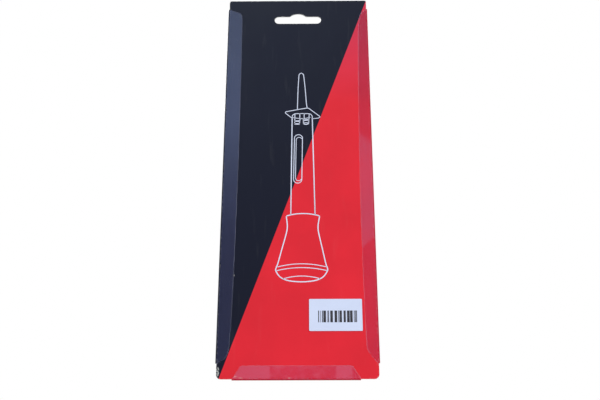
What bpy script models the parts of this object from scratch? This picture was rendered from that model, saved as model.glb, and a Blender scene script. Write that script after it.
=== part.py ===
"""Battery acid tester in its hanging retail pack.

A printed card hangs by a slot. A clear formed sheet lies on the card's far side, is folded round its
left, right and bottom edges, and bulges out into a pocket that holds the tester: a rubber bulb, a clear
barrel with a float inside, a square flanged plug and a tapered nozzle.

Metres, +Z up along the card, the printed face towards -Y, the pocket towards +Y.
The origin is the middle of the hang slot, on the printed face.
"""

import math

import bmesh
import bpy
from mathutils import Matrix

# Fits
FIT = 0.0003  # gap between pieces that touch
OVERRUN = 0.002  # how far a cutter runs past what it cuts
WELD = 0.00001  # points closer than this are one point

# Tester
BULB_HEIGHT = 0.059
BULB_BELLY_RADIUS = 0.022
BULB_WAIST_RADIUS = 0.0133
BULB_RIM_RADIUS = 0.0146
BULB_BASE_RADIUS = 0.0155
BULB_WALL = 0.0022
BULB_FLOOR = 0.0032
BULB_BAND_PROUD = 0.0006
BULB_DISH_DEPTH = 0.0008
BARREL_RADIUS = 0.0103
BARREL_WALL = 0.0012
BARREL_CLEAR_LENGTH = 0.099  # from the bulb's rim to the plug's flange
NECK_DEPTH = 0.0145  # how far the barrel's end sits in the bulb
LEDGE_WIDTH = 0.0018
LEDGE_HEIGHT = 0.0025
FLANGE_SIDE = 0.0265
FLANGE_THICKNESS = 0.0025
FLANGE_CORNER = 0.0016
FLANGE_EDGE = 0.0004
SKIRT_LENGTH = 0.0045
TAB_LENGTH = 0.0075
SKIRT_WALL = 0.0016
TAB_COUNT = 4
TAB_GAP = 0.0042
TAB_WINDOW_WIDTH = 0.0034
TAB_WINDOW_HEIGHT = 0.0024
SPIGOT_RADIUS = 0.0030
SPIGOT_LENGTH = 0.012
SUCTION_RADIUS = 0.0013
NOZZLE_LENGTH = 0.042
NOZZLE_BASE_RADIUS = 0.0046
NOZZLE_TIP_RADIUS = 0.0023
NOZZLE_FOOT_RADIUS = 0.0049
NOZZLE_FOOT_HEIGHT = 0.0012
FLOAT_RADIUS = 0.0042
FLOAT_LENGTH = 0.050
FLOAT_WALL = 0.0006
BALLAST_LENGTH = 0.0085
RESIN_LENGTH = 0.0025
SCALE_ROOM = 0.0027  # between the scale's foot and the stopper
SCALE_THICKNESS = 0.0003
CAP_HEAD = 0.0012
CAP_PLUG = 0.0035
RETAINER_RIM = 0.0012
RETAINER_SPIGOT = 0.0030
RETAINER_HOLE_RADIUS = 0.0013
RETAINER_HOLES = 6

# Card and label
CARD_WIDTH = 0.100
CARD_THICKNESS = 0.0006
CARD_CORNER = 0.003
SLOT_WIDTH = 0.0338
SLOT_HEIGHT = 0.0061
SLOT_BUMP_WIDTH = 0.0118
SLOT_BUMP_RISE = 0.0024
SLOT_DROP = 0.017  # from the card's top edge to the slot's middle
LABEL_WIDTH = 0.0334
LABEL_HEIGHT = 0.0208
LABEL_THICKNESS = 0.00015
LABEL_GAP = 0.0002
LABEL_CORNER = 0.0006
LABEL_SIDE_MARGIN = 0.0261  # from the card's right edge to the label's middle
LABEL_BOTTOM_MARGIN = 0.0405  # from the card's bottom edge to the label's middle

# Formed sheet
SHEET = 0.0004
POCKET_PLAY = 0.0009  # room round the flange and the barrel
BULB_PLAY = 0.0005
NOZZLE_PLAY = 0.0015
POCKET_FILLET = 0.0018
POCKET_STEP = 0.003  # length of the slope between two depths of the pocket
FLANGE_POCKET_CORNER = 0.0035
SADDLE_LENGTH = 0.004
SADDLE_SLOPE = 0.0016
HEADER_LIP = 0.0006  # how far the sheet stands above the card's top edge
SLOT_TO_POCKET = 0.0146
POCKET_TO_FOLD = 0.0114
BOTTOM_FOLD = 0.0092
ROW_SPACING = 0.0004

# Shares of the sizes that carry them
POCKET_DRAFT_SHARE = 0.03
POCKET_END_DRAFT_SHARE = 0.018
CROWN_FLAT_SHARE = 0.10
SADDLE_SHARES = (0.26, 0.66)
BOTTOM_FOLD_BASE_SHARE = 0.385
BOTTOM_FOLD_TOP_SHARE = 0.342
# each row: share of the card's height from its top, share of its width from its centre line to the fold's edge
LEFT_FOLD_SHARES = (
    (0.0307, 0.494),
    (0.0354, 0.440),
    (0.0393, 0.412),
    (0.0464, 0.396),
    (0.3700, 0.396),
    (0.6400, 0.402),
    (0.9268, 0.418),
    (0.9514, 0.440),
    (0.9650, 0.494),
)
RIGHT_FOLD_SHARES = (
    (0.0307, 0.494),
    (0.0343, 0.456),
    (0.0393, 0.445),
    (0.1000, 0.431),
    (0.3700, 0.418),
    (0.6400, 0.413),
    (0.9336, 0.427),
    (0.9514, 0.461),
    (0.9650, 0.494),
)
# outer line of the bulb from its base to its rim: share of its height, share of the way from waist to belly radius
BULB_FLARE_SHARES = (
    (0.185, 0.86),
    (0.26, 0.745),
    (0.36, 0.585),
    (0.46, 0.425),
    (0.56, 0.270),
    (0.65, 0.135),
    (0.73, 0.045),
    (0.80, 0.0),
    (0.86, 0.0),
)
BULB_BELLY_SHARE = 0.105
BULB_BAND_SHARE = 0.15
BULB_TURN_SHARES = ((0.012, 0.30), (0.035, 0.62), (0.065, 0.87))
BULB_LIP_SHARE = 0.955
BULB_DISH_SHARE = 0.80
BULB_SOLE_SHARE = 0.88
RETAINER_RING_SHARE = 0.58
# how far the pocket's end walls have risen, just above the sheet and just under the crown
END_RISE_SHARES = (0.05, 0.93)

# Counts and angles
ROUND_STEPS = 40
SMALL_STEPS = 24
PLUG_STEPS = 28
DRILL_STEPS = 12
FOLD_STEPS = 2
CROWN_STEPS = 5
ARC_STEPS = 8
RIM_STEPS = 4
DOME_STEPS = 5
EDGE_STEPS = 2
SHARP_ANGLE = 35
CORNER_ANGLE = 60

# Places that follow from the sizes
NOZZLE_LIFT = SKIRT_LENGTH + TAB_LENGTH
TESTER_LIFT = NECK_DEPTH + NOZZLE_LIFT
AXIS_Y = CARD_THICKNESS + FIT + BULB_BELLY_RADIUS + BULB_BAND_PROUD
FRONT_Y = CARD_THICKNESS + FIT + SHEET / 2
BACK_Y = -(FIT + SHEET / 2)
FOLD_RADIUS = FIT + SHEET / 2
CARD_TOP = SLOT_DROP
POCKET_TOP = -SLOT_TO_POCKET
POCKET_HEIGHT = AXIS_Y + BULB_BELLY_RADIUS + BULB_BAND_PROUD + BULB_PLAY + SHEET / 2 - FRONT_Y
END_DRAFT = POCKET_END_DRAFT_SHARE * POCKET_HEIGHT
POCKET_ROOF = POCKET_TOP - POCKET_FILLET - END_DRAFT - SHEET / 2  # under the top end wall
NOZZLE_TIP = POCKET_ROOF - NOZZLE_PLAY - TESTER_LIFT
FLANGE_TOP = NOZZLE_TIP - NOZZLE_LENGTH - FIT
FLANGE_UNDER = FLANGE_TOP - FLANGE_THICKNESS
BARREL_TOP = FLANGE_UNDER - FIT
BULB_RIM = BARREL_TOP - BARREL_CLEAR_LENGTH
LEDGE_TOP = BULB_RIM - NECK_DEPTH
RETAINER_FOOT = LEDGE_TOP + FIT
BARREL_FOOT = RETAINER_FOOT + RETAINER_RIM + FIT
RETAINER_TOP = BARREL_FOOT + RETAINER_SPIGOT
BULB_BASE = BULB_RIM - BULB_HEIGHT
POCKET_FLOOR = BULB_BASE - FIT - SHEET / 2
POCKET_FOOT = POCKET_FLOOR - END_DRAFT - POCKET_FILLET
CARD_BOTTOM = POCKET_FOOT - POCKET_TO_FOLD
CARD_HEIGHT = CARD_TOP - CARD_BOTTOM
SKIRT_RADIUS = BARREL_RADIUS - BARREL_WALL - FIT
SKIRT_FOOT = FLANGE_UNDER - SKIRT_LENGTH - TAB_LENGTH
FLOAT_FOOT = RETAINER_TOP + FIT
FLOAT_TOP = FLOAT_FOOT + FLOAT_LENGTH
FLOAT_BORE = FLOAT_RADIUS - FLOAT_WALL
FLOAT_FILL = FLOAT_BORE - FIT
RESIN_TOP = FLOAT_TOP - BALLAST_LENGTH - FIT
SCALE_TOP = RESIN_TOP - RESIN_LENGTH - FIT
CAP_SHOULDER = FLOAT_FOOT + CAP_HEAD
CAP_TOP = CAP_SHOULDER + CAP_PLUG


def clear_scene():
    for obj in list(bpy.data.objects):
        bpy.data.objects.remove(obj, do_unlink=True)


def collection(name):
    new = bpy.data.collections.new(name)
    bpy.context.scene.collection.children.link(new)
    return new


def material(name, colour, roughness, metallic=0.0, alpha=1.0):
    new = bpy.data.materials.new(name)
    new.use_nodes = True
    shader = new.node_tree.nodes["Principled BSDF"]
    shader.inputs["Base Color"].default_value = (*colour, 1.0)
    shader.inputs["Roughness"].default_value = roughness
    shader.inputs["Metallic"].default_value = metallic
    shader.inputs["Alpha"].default_value = alpha
    return new


def add_mesh(name, mesh, finish, place=(0, 0, 0)):
    """A new sub-part from a mesh, in the pack's collection."""
    obj = bpy.data.objects.new(name, mesh)
    obj.location = place
    mesh.materials.append(finish)
    PARTS.objects.link(obj)
    return obj


def evaluated_mesh(obj):
    """The mesh that an object's modifiers make, with loose caps welded to their walls."""
    bpy.context.view_layer.update()
    graph = bpy.context.evaluated_depsgraph_get()
    mesh = bpy.data.meshes.new_from_object(obj.evaluated_get(graph))
    work = bmesh.new()
    work.from_mesh(mesh)
    bmesh.ops.remove_doubles(work, verts=work.verts, dist=WELD)
    work.to_mesh(mesh)
    work.free()
    return mesh


def round_off(mesh):
    mesh.shade_smooth()
    mesh.set_sharp_from_angle(angle=math.radians(SHARP_ANGLE))


def arc(centre, radius, start, end, steps):
    """Points on an arc in a plane, angles in degrees, both ends included."""
    points = []
    for i in range(steps + 1):
        angle = math.radians(start + (end - start) * i / steps)
        points.append((centre[0] + radius * math.cos(angle), centre[1] + radius * math.sin(angle)))
    return points


def turned(name, profile, finish, steps=ROUND_STEPS, base=0.0):
    """A solid turned about the tester's axis from (radius, height) points.

    The points run down its outer side, and their heights count from the base.
    """
    mesh = bpy.data.meshes.new(name)
    vertices = [(radius, 0, height) for radius, height in profile]
    on_axis = profile[0][0] == 0 and profile[-1][0] == 0
    edges = [(i, i + 1) for i in range(len(profile) - 1)]
    if not on_axis:
        edges.append((len(profile) - 1, 0))
    mesh.from_pydata(vertices, edges, [])
    obj = add_mesh(name, mesh, finish, (0, AXIS_Y, base))
    spin = obj.modifiers.new("turn", "SCREW")
    spin.steps = steps
    spin.render_steps = steps
    spin.use_merge_vertices = True
    spin.merge_threshold = WELD
    return obj


def flat_plate(name, outline, thickness, middle_y, finish, home):
    """A plate that stands upright, from (x, z) outline points."""
    curve = bpy.data.curves.new(name + "_outline", "CURVE")
    curve.dimensions = "2D"
    curve.fill_mode = "BOTH"
    curve.extrude = thickness / 2
    spline = curve.splines.new("POLY")
    spline.points.add(len(outline) - 1)
    for point, (x, z) in zip(spline.points, outline):
        point.co = (x, z, 0, 1)
    spline.use_cyclic_u = True
    drawn = bpy.data.objects.new(name + "_outline", curve)
    drawn.rotation_euler = (math.radians(90), 0, 0)
    drawn.location = (0, middle_y, 0)
    home.objects.link(drawn)
    mesh = evaluated_mesh(drawn)
    mesh.name = name
    plate = bpy.data.objects.new(name, mesh)
    plate.matrix_world = drawn.matrix_world
    if finish:
        mesh.materials.append(finish)
    home.objects.link(plate)
    bpy.data.objects.remove(drawn, do_unlink=True)
    return plate


def as_cutter(obj):
    obj.hide_render = True
    obj.display_type = "WIRE"
    return obj


def boolean(obj, other, operation="DIFFERENCE"):
    step = obj.modifiers.new(other.name, "BOOLEAN")
    step.operation = operation
    step.solver = "EXACT"
    step.object = other


def new_cutter(name, work, place, turn):
    """A cutter from a bmesh, at a place beside the tester's axis, turned about that axis by degrees."""
    mesh = bpy.data.meshes.new(name)
    work.to_mesh(mesh)
    work.free()
    obj = bpy.data.objects.new(name, mesh)
    spin = Matrix.Rotation(math.radians(turn), 4, "Z")
    obj.matrix_world = Matrix.Translation((0, AXIS_Y, 0)) @ spin @ Matrix.Translation(place)
    CUTTERS.objects.link(obj)
    return as_cutter(obj)


def box_cutter(name, size, place, turn=0.0):
    work = bmesh.new()
    bmesh.ops.create_cube(work, size=1.0, matrix=Matrix.Diagonal((*size, 1.0)))
    return new_cutter(name, work, place, turn)


def drill(name, radius, depth, place, turn=0.0):
    """An upright round cutter."""
    work = bmesh.new()
    bmesh.ops.create_cone(
        work,
        cap_ends=True,
        segments=DRILL_STEPS,
        radius1=radius,
        radius2=radius,
        depth=depth,
    )
    return new_cutter(name, work, place, turn)


def rounded_rectangle(left, right, bottom, top, radii, steps=ARC_STEPS):
    """Outline points, anticlockwise from the bottom left. radii: bottom left, bottom right, top right, top left."""
    centres = (
        (left + radii[0], bottom + radii[0], 180),
        (right - radii[1], bottom + radii[1], 270),
        (right - radii[2], top - radii[2], 0),
        (left + radii[3], top - radii[3], 90),
    )
    points = []
    for (x, z, start), radius in zip(centres, radii):
        points += arc((x, z), radius, start, start + 90, steps)
    return points


def hang_slot_outline():
    """A bar with round ends, and an arch in the middle of its top for the hook."""
    half = SLOT_WIDTH / 2
    rise = SLOT_HEIGHT / 2
    foot = SLOT_BUMP_WIDTH / 2
    radius = (foot**2 + SLOT_BUMP_RISE**2) / (2 * SLOT_BUMP_RISE)
    lean = math.degrees(math.asin(foot / radius))
    points = arc((half - rise, 0), rise, -90, 90, ARC_STEPS)
    points += arc((0, rise + SLOT_BUMP_RISE - radius), radius, 90 - lean, 90 + lean, ARC_STEPS)
    points += arc((rise - half, 0), rise, 90, 270, ARC_STEPS)
    return points


def bulb_radius(height):
    """Outer radius of the bulb at a height above its base, from the flare's shares."""
    span = BULB_BELLY_RADIUS - BULB_WAIST_RADIUS
    table = [(BULB_BAND_SHARE, 1.0)]
    table += list(BULB_FLARE_SHARES)
    table.append((1.0, (BULB_RIM_RADIUS - BULB_WAIST_RADIUS) / span))
    share = min(max(height / BULB_HEIGHT, table[0][0]), table[-1][0])
    for (low, first), (high, second) in zip(table, table[1:]):
        if share <= high:
            way = (share - low) / (high - low)
            return BULB_WAIST_RADIUS + span * (first + (second - first) * way)
    return BULB_RIM_RADIUS


def backing_card():
    outline = rounded_rectangle(
        -CARD_WIDTH / 2,
        CARD_WIDTH / 2,
        CARD_BOTTOM,
        CARD_TOP,
        (CARD_CORNER, CARD_CORNER, CARD_CORNER / 2, CARD_CORNER / 2),
    )
    finish = material("printed_card", (0.03, 0.034, 0.05), 0.45)
    card = flat_plate("backing_card", outline, CARD_THICKNESS, CARD_THICKNESS / 2, finish, PARTS)
    boolean(card, SLOT_CUTTER)


def barcode_label():
    x = CARD_WIDTH / 2 - LABEL_SIDE_MARGIN
    z = CARD_BOTTOM + LABEL_BOTTOM_MARGIN
    outline = rounded_rectangle(
        x - LABEL_WIDTH / 2,
        x + LABEL_WIDTH / 2,
        z - LABEL_HEIGHT / 2,
        z + LABEL_HEIGHT / 2,
        [LABEL_CORNER] * 4,
        RIM_STEPS,
    )
    middle = -(LABEL_GAP + LABEL_THICKNESS / 2)
    finish = material("label_paper", (0.78, 0.80, 0.90), 0.5)
    flat_plate("barcode_label", outline, LABEL_THICKNESS, middle, finish, PARTS)


def pocket_stations():
    """Cross-sections of the pocket from its top to its foot.

    Each is (height, half width of the crown, depth to the crown, crown radius, rise), where rise 0 is flat sheet.
    """
    around = SHEET / 2 + POCKET_PLAY
    nozzle = NOZZLE_FOOT_RADIUS + NOZZLE_PLAY + SHEET / 2
    flange = FLANGE_SIDE / 2 + around
    barrel = BARREL_RADIUS + around
    saddle = BARREL_RADIUS + FIT + SHEET / 2
    neck = BULB_RIM_RADIUS + BULB_PLAY + SHEET / 2
    nozzle_section = (nozzle, AXIS_Y + nozzle, round_crown(nozzle))
    flange_section = (flange, AXIS_Y + flange, FLANGE_POCKET_CORNER)
    barrel_section = (barrel, AXIS_Y + barrel, round_crown(barrel))
    saddle_section = (saddle, AXIS_Y + saddle, round_crown(saddle))
    neck_section = (neck, AXIS_Y + neck, round_crown(neck))
    roof = POCKET_TOP - POCKET_FILLET
    flange_high = FLANGE_TOP + TESTER_LIFT + NOZZLE_PLAY
    flange_low = FLANGE_UNDER - NOZZLE_PLAY
    neck_top = BULB_RIM + NOZZLE_PLAY
    low_rise, high_rise = END_RISE_SHARES
    rows = [
        (POCKET_TOP, *nozzle_section, 0.0),
        (roof + POCKET_FILLET / 3, *nozzle_section, low_rise),
        (roof - END_DRAFT, *nozzle_section, high_rise),
        (roof - END_DRAFT - POCKET_FILLET, *nozzle_section, 1.0),
        (flange_high + POCKET_STEP, *nozzle_section, 1.0),
        (flange_high, *flange_section, 1.0),
        (flange_low, *flange_section, 1.0),
        (flange_low - POCKET_STEP, *barrel_section, 1.0),
    ]
    for share in SADDLE_SHARES:
        middle = BARREL_TOP - share * BARREL_CLEAR_LENGTH
        half = SADDLE_LENGTH / 2
        rows.append((middle + half + SADDLE_SLOPE, *barrel_section, 1.0))
        rows.append((middle + half, *saddle_section, 1.0))
        rows.append((middle - half, *saddle_section, 1.0))
        rows.append((middle - half - SADDLE_SLOPE, *barrel_section, 1.0))
    rows.append((neck_top + POCKET_STEP, *barrel_section, 1.0))
    rows.append((neck_top, *neck_section, 1.0))
    heights = [share * BULB_HEIGHT for share, _ in reversed(BULB_FLARE_SHARES)]
    for height in heights:
        width = max(neck, bulb_radius(height) + BULB_BAND_PROUD + BULB_PLAY + SHEET / 2)
        rows.append((BULB_BASE + height, width, AXIS_Y + width, round_crown(width), 1.0))
    widest = BULB_BELLY_RADIUS + BULB_BAND_PROUD + BULB_PLAY + SHEET / 2
    belly_section = (widest, AXIS_Y + widest, round_crown(widest))
    rows.append((BULB_BASE + BULB_BAND_SHARE * BULB_HEIGHT, *belly_section, 1.0))
    rows.append((POCKET_FLOOR + POCKET_FILLET, *belly_section, 1.0))
    rows.append((POCKET_FLOOR, *belly_section, high_rise))
    rows.append((POCKET_FOOT + POCKET_FILLET * 2 / 3, *belly_section, low_rise))
    rows.append((POCKET_FOOT, *belly_section, 0.0))
    return rows


def round_crown(half_width):
    """Corner radius of a crown that is a half circle but for a narrow flat."""
    return half_width * (1 - CROWN_FLAT_SHARE)


def between(table, place):
    """Linear values between the rows of a table whose first column is sorted, either way."""
    rows = sorted(table)
    if place <= rows[0][0]:
        return rows[0][1:]
    for low, high in zip(rows, rows[1:]):
        if place <= high[0]:
            way = (place - low[0]) / (high[0] - low[0])
            return tuple(a + (b - a) * way for a, b in zip(low[1:], high[1:]))
    return rows[-1][1:]


def pocket_half(section):
    """(x, y) points of half a cross-section, from the flat sheet to the crown's flat."""
    half, crown_y, radius, rise = section
    draft = POCKET_DRAFT_SHARE * (crown_y - FRONT_Y)
    foot = half + draft
    steep = [
        (foot + POCKET_FILLET, FRONT_Y),
        (foot + POCKET_FILLET / 4, FRONT_Y + POCKET_FILLET / 4),
        (foot, FRONT_Y + POCKET_FILLET),
    ]
    steep += arc((half - radius, crown_y - radius), radius, 0, 90, CROWN_STEPS)
    return [(x, FRONT_Y + (y - FRONT_Y) * rise) for x, y in steep]


def fold_half(inner):
    """(x, y) points from a side fold's free edge, round the card's edge, to the front sheet."""
    edge = CARD_WIDTH / 2
    points = [(inner, BACK_Y)]
    points += arc((edge, 0), FOLD_RADIUS, -90, 0, FOLD_STEPS)
    points += arc((edge, CARD_THICKNESS), FOLD_RADIUS, 0, 90, FOLD_STEPS)
    return points


def sheet_rows():
    """Heights of the sheet's rows from top to bottom, with near ones left out."""
    heights = [row[0] for row in pocket_stations()]
    for share, _ in LEFT_FOLD_SHARES + RIGHT_FOLD_SHARES:
        heights.append(CARD_TOP - share * CARD_HEIGHT)
    heights.append(CARD_TOP + HEADER_LIP)
    heights.append(CARD_BOTTOM)
    kept = []
    fixed = {round(row[0] / WELD) for row in pocket_stations()}
    for height in sorted(set(heights), reverse=True):
        if kept and kept[-1] - height < ROW_SPACING:
            if round(height / WELD) in fixed:
                kept[-1] = height
            continue
        kept.append(height)
    return kept


def blister_shell():
    """The formed sheet as one surface of rows and columns, made solid by its thickness."""
    stations = pocket_stations()
    left = [(CARD_TOP - share * CARD_HEIGHT, width * CARD_WIDTH) for share, width in LEFT_FOLD_SHARES]
    right = [(CARD_TOP - share * CARD_HEIGHT, width * CARD_WIDTH) for share, width in RIGHT_FOLD_SHARES]
    fold_top = left[0][0] + WELD
    fold_end = left[-1][0] - WELD
    tongue = BOTTOM_FOLD_BASE_SHARE * CARD_WIDTH
    work = bmesh.new()
    grid = []
    for z in sheet_rows():
        pocket = pocket_half(between(stations, z))
        folded = fold_end <= z <= fold_top
        row = {}
        for side, table in ((-1, left), (1, right)):
            wrap = fold_half(between(table, z)[0])
            line = wrap + [(tongue, FRONT_Y)] + pocket
            for i, (x, y) in enumerate(line):
                if i < len(wrap) - 1 and not folded:
                    continue
                row[(side, i)] = work.verts.new((side * x, y, z))
        grid.append(row)
    count = len(wrap) + 1 + len(pocket)
    order = [(-1, i) for i in range(count)] + [(1, i) for i in reversed(range(count))]
    for upper, lower in zip(grid, grid[1:]):
        for first, second in zip(order, order[1:]):
            corners = [(upper, first), (upper, second), (lower, second), (lower, first)]
            if all(key in row for row, key in corners):
                work.faces.new([row[key] for row, key in corners])
    add_bottom_fold(work, grid[-1], order, len(wrap))
    bmesh.ops.recalc_face_normals(work, faces=work.faces)
    mesh = bpy.data.meshes.new("blister_shell")
    work.to_mesh(mesh)
    work.free()
    finish = material("clear_sheet", (0.80, 0.83, 0.90), 0.08, alpha=0.35)
    shell = add_mesh("blister_shell", mesh, finish)
    thick = shell.modifiers.new("thickness", "SOLIDIFY")
    thick.thickness = SHEET
    thick.offset = 0.0
    thick.use_even_offset = True
    boolean(shell, SLOT_CUTTER)


def add_bottom_fold(work, last_row, order, first_column):
    """Carries the middle of the last row round the card's bottom edge and up its printed face."""
    keys = [key for key in order if key[1] >= first_column]
    path = arc((CARD_THICKNESS, CARD_BOTTOM), FOLD_RADIUS, 0, -90, FOLD_STEPS)[1:]
    path += arc((0, CARD_BOTTOM), FOLD_RADIUS, -90, -180, FOLD_STEPS)
    path.append((BACK_Y, CARD_BOTTOM + BOTTOM_FOLD))
    narrow = BOTTOM_FOLD_TOP_SHARE / BOTTOM_FOLD_BASE_SHARE
    previous = [last_row[key] for key in keys]
    for i, (y, z) in enumerate(path):
        share = narrow if i == len(path) - 1 else 1.0
        line = [work.verts.new((last_row[key].co.x * share, y, z)) for key in keys]
        for a, b, c, d in zip(previous, previous[1:], line[1:], line):
            work.faces.new((a, b, c, d))
        previous = line


def rubber_bulb():
    """A bell that flares to a banded belly, with a neck that grips the barrel's end on a ledge."""
    outer = [(0, BULB_DISH_DEPTH), (BULB_BASE_RADIUS * BULB_DISH_SHARE, BULB_DISH_DEPTH)]
    outer.append((BULB_BASE_RADIUS * BULB_SOLE_SHARE, 0))
    outer.append((BULB_BASE_RADIUS, 0))
    turn = BULB_BELLY_RADIUS - BULB_BASE_RADIUS
    for height, width in BULB_TURN_SHARES:
        outer.append((BULB_BASE_RADIUS + width * turn, height * BULB_HEIGHT))
    belly = BULB_BELLY_SHARE * BULB_HEIGHT
    band = BULB_BAND_SHARE * BULB_HEIGHT
    outer.append((BULB_BELLY_RADIUS, belly))
    outer.append((BULB_BELLY_RADIUS + BULB_BAND_PROUD, belly + (band - belly) / 3))
    outer.append((BULB_BELLY_RADIUS + BULB_BAND_PROUD / 2, band - (band - belly) / 4))
    for height, _ in BULB_FLARE_SHARES:
        outer.append((bulb_radius(height * BULB_HEIGHT), height * BULB_HEIGHT))
    lip = BULB_LIP_SHARE * BULB_HEIGHT
    outer.append((BULB_RIM_RADIUS, lip))
    outer.append((BULB_RIM_RADIUS, BULB_HEIGHT - BULB_BAND_PROUD))
    outer.append((BULB_RIM_RADIUS - BULB_BAND_PROUD, BULB_HEIGHT))
    neck = BARREL_RADIUS + FIT
    ledge = neck - LEDGE_WIDTH
    ledge_top = BULB_HEIGHT - NECK_DEPTH
    ledge_foot = ledge_top - LEDGE_HEIGHT
    inner = [(neck, BULB_HEIGHT), (neck, ledge_top), (ledge, ledge_top), (ledge, ledge_foot)]
    for height, _ in reversed(BULB_FLARE_SHARES):
        z = height * BULB_HEIGHT
        if z < ledge_foot - BULB_WALL / 2:
            inner.append((bulb_radius(z) - BULB_WALL, z))
    inner.append((BULB_BELLY_RADIUS - BULB_WALL, belly))
    floor = BULB_DISH_DEPTH + BULB_FLOOR
    inner.append((BULB_BELLY_RADIUS - BULB_WALL * 2, floor + BULB_WALL / 3))
    inner.append((BULB_BASE_RADIUS - BULB_WALL / 2, floor))
    inner.append((0, floor))
    profile = list(reversed(inner)) + list(reversed(outer))
    finish = material("black_rubber", (0.02, 0.02, 0.022), 0.6)
    turned("rubber_bulb", profile, finish, base=BULB_BASE)


def barrel():
    bore = BARREL_RADIUS - BARREL_WALL
    edge = BARREL_WALL / 4
    profile = [
        (bore, BARREL_FOOT),
        (bore, BARREL_TOP),
        (BARREL_RADIUS - edge, BARREL_TOP),
        (BARREL_RADIUS, BARREL_TOP - edge),
        (BARREL_RADIUS, BARREL_FOOT + edge),
        (BARREL_RADIUS - edge, BARREL_FOOT),
    ]
    finish = material("clear_barrel", (0.88, 0.92, 0.94), 0.05, alpha=0.35)
    turned("barrel", profile, finish)


def float_retainer():
    """A perforated stop that keeps the float out of the bulb and lets the acid through."""
    rim = BARREL_RADIUS - FIT
    spigot = BARREL_RADIUS - BARREL_WALL - FIT
    shoulder = RETAINER_FOOT + RETAINER_RIM
    profile = [
        (0, RETAINER_TOP),
        (spigot - FIT, RETAINER_TOP),
        (spigot, RETAINER_TOP - FIT),
        (spigot, shoulder),
        (rim, shoulder),
        (rim, RETAINER_FOOT),
        (0, RETAINER_FOOT),
    ]
    finish = material("retainer_plastic", (0.85, 0.86, 0.84), 0.45)
    stop = turned("float_retainer", profile, finish)
    middle = (RETAINER_TOP + RETAINER_FOOT) / 2
    depth = RETAINER_TOP - RETAINER_FOOT + 2 * OVERRUN
    boolean(stop, drill("retainer_hole", RETAINER_HOLE_RADIUS, depth, (0, 0, middle)))
    ring = spigot * RETAINER_RING_SHARE
    for i in range(RETAINER_HOLES):
        turn = 360 * i / RETAINER_HOLES
        hole = drill(f"retainer_hole_{i}", RETAINER_HOLE_RADIUS, depth, (ring, 0, middle), turn)
        boolean(stop, hole)


def flange_plug():
    """A square flange with a spigot above it and a slotted skirt of four tabs below it."""
    mesh = bpy.data.meshes.new("flange_plug")
    work = bmesh.new()
    size = Matrix.Diagonal((FLANGE_SIDE, FLANGE_SIDE, FLANGE_THICKNESS, 1.0))
    bmesh.ops.create_cube(work, size=1.0, matrix=size)
    upright = [edge for edge in work.edges if abs(edge.verts[0].co.z - edge.verts[1].co.z) > WELD]
    bmesh.ops.bevel(
        work, geom=upright, offset=FLANGE_CORNER, offset_type="OFFSET", segments=RIM_STEPS, affect="EDGES"
    )
    work.to_mesh(mesh)
    work.free()
    finish = material("plug_plastic", (0.03, 0.03, 0.033), 0.4)
    middle = (FLANGE_TOP + FLANGE_UNDER) / 2
    plug = add_mesh("flange_plug", mesh, finish, (0, AXIS_Y, middle))
    soft = plug.modifiers.new("edge", "BEVEL")
    soft.width = FLANGE_EDGE
    soft.segments = EDGE_STEPS
    soft.limit_method = "ANGLE"
    soft.angle_limit = math.radians(CORNER_ANGLE)
    core = turned("plug_core", plug_core_profile(), finish, PLUG_STEPS)
    PARTS.objects.unlink(core)
    CUTTERS.objects.link(core)
    boolean(plug, as_cutter(core), "UNION")
    height = FLANGE_TOP + SPIGOT_LENGTH - SKIRT_FOOT + 2 * OVERRUN
    bore_middle = (FLANGE_TOP + SPIGOT_LENGTH + SKIRT_FOOT) / 2
    boolean(plug, drill("suction_bore", SUCTION_RADIUS, height, (0, 0, bore_middle)))
    tab_middle = SKIRT_FOOT + (TAB_LENGTH - OVERRUN) / 2
    slot = (SKIRT_RADIUS + OVERRUN, TAB_GAP, TAB_LENGTH + OVERRUN)
    window = (SKIRT_RADIUS + OVERRUN, TAB_WINDOW_WIDTH, TAB_WINDOW_HEIGHT)
    for i in range(TAB_COUNT):
        turn = 360 * i / TAB_COUNT
        place = ((SKIRT_RADIUS + OVERRUN) / 2, 0, tab_middle)
        boolean(plug, box_cutter(f"tab_gap_{i}", slot, place, turn))
        place = ((SKIRT_RADIUS + OVERRUN) / 2, 0, SKIRT_FOOT + TAB_LENGTH / 2)
        boolean(plug, box_cutter(f"tab_window_{i}", window, place, turn + 180 / TAB_COUNT))


def plug_core_profile():
    """The turned middle of the plug: spigot on top, skirt underneath."""
    lead = FLANGE_EDGE
    inner = SKIRT_RADIUS - SKIRT_WALL
    skirt_roof = FLANGE_UNDER - SKIRT_WALL / 2
    tip = FLANGE_TOP + SPIGOT_LENGTH
    return [
        (0, tip),
        (SPIGOT_RADIUS - lead, tip),
        (SPIGOT_RADIUS, tip - lead),
        (SPIGOT_RADIUS, FLANGE_TOP - FLANGE_THICKNESS / 2),
        (SKIRT_RADIUS, FLANGE_TOP - FLANGE_THICKNESS / 2),
        (SKIRT_RADIUS, SKIRT_FOOT + lead),
        (SKIRT_RADIUS - lead, SKIRT_FOOT),
        (inner, SKIRT_FOOT),
        (inner, skirt_roof),
        (0, skirt_roof),
    ]


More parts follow.
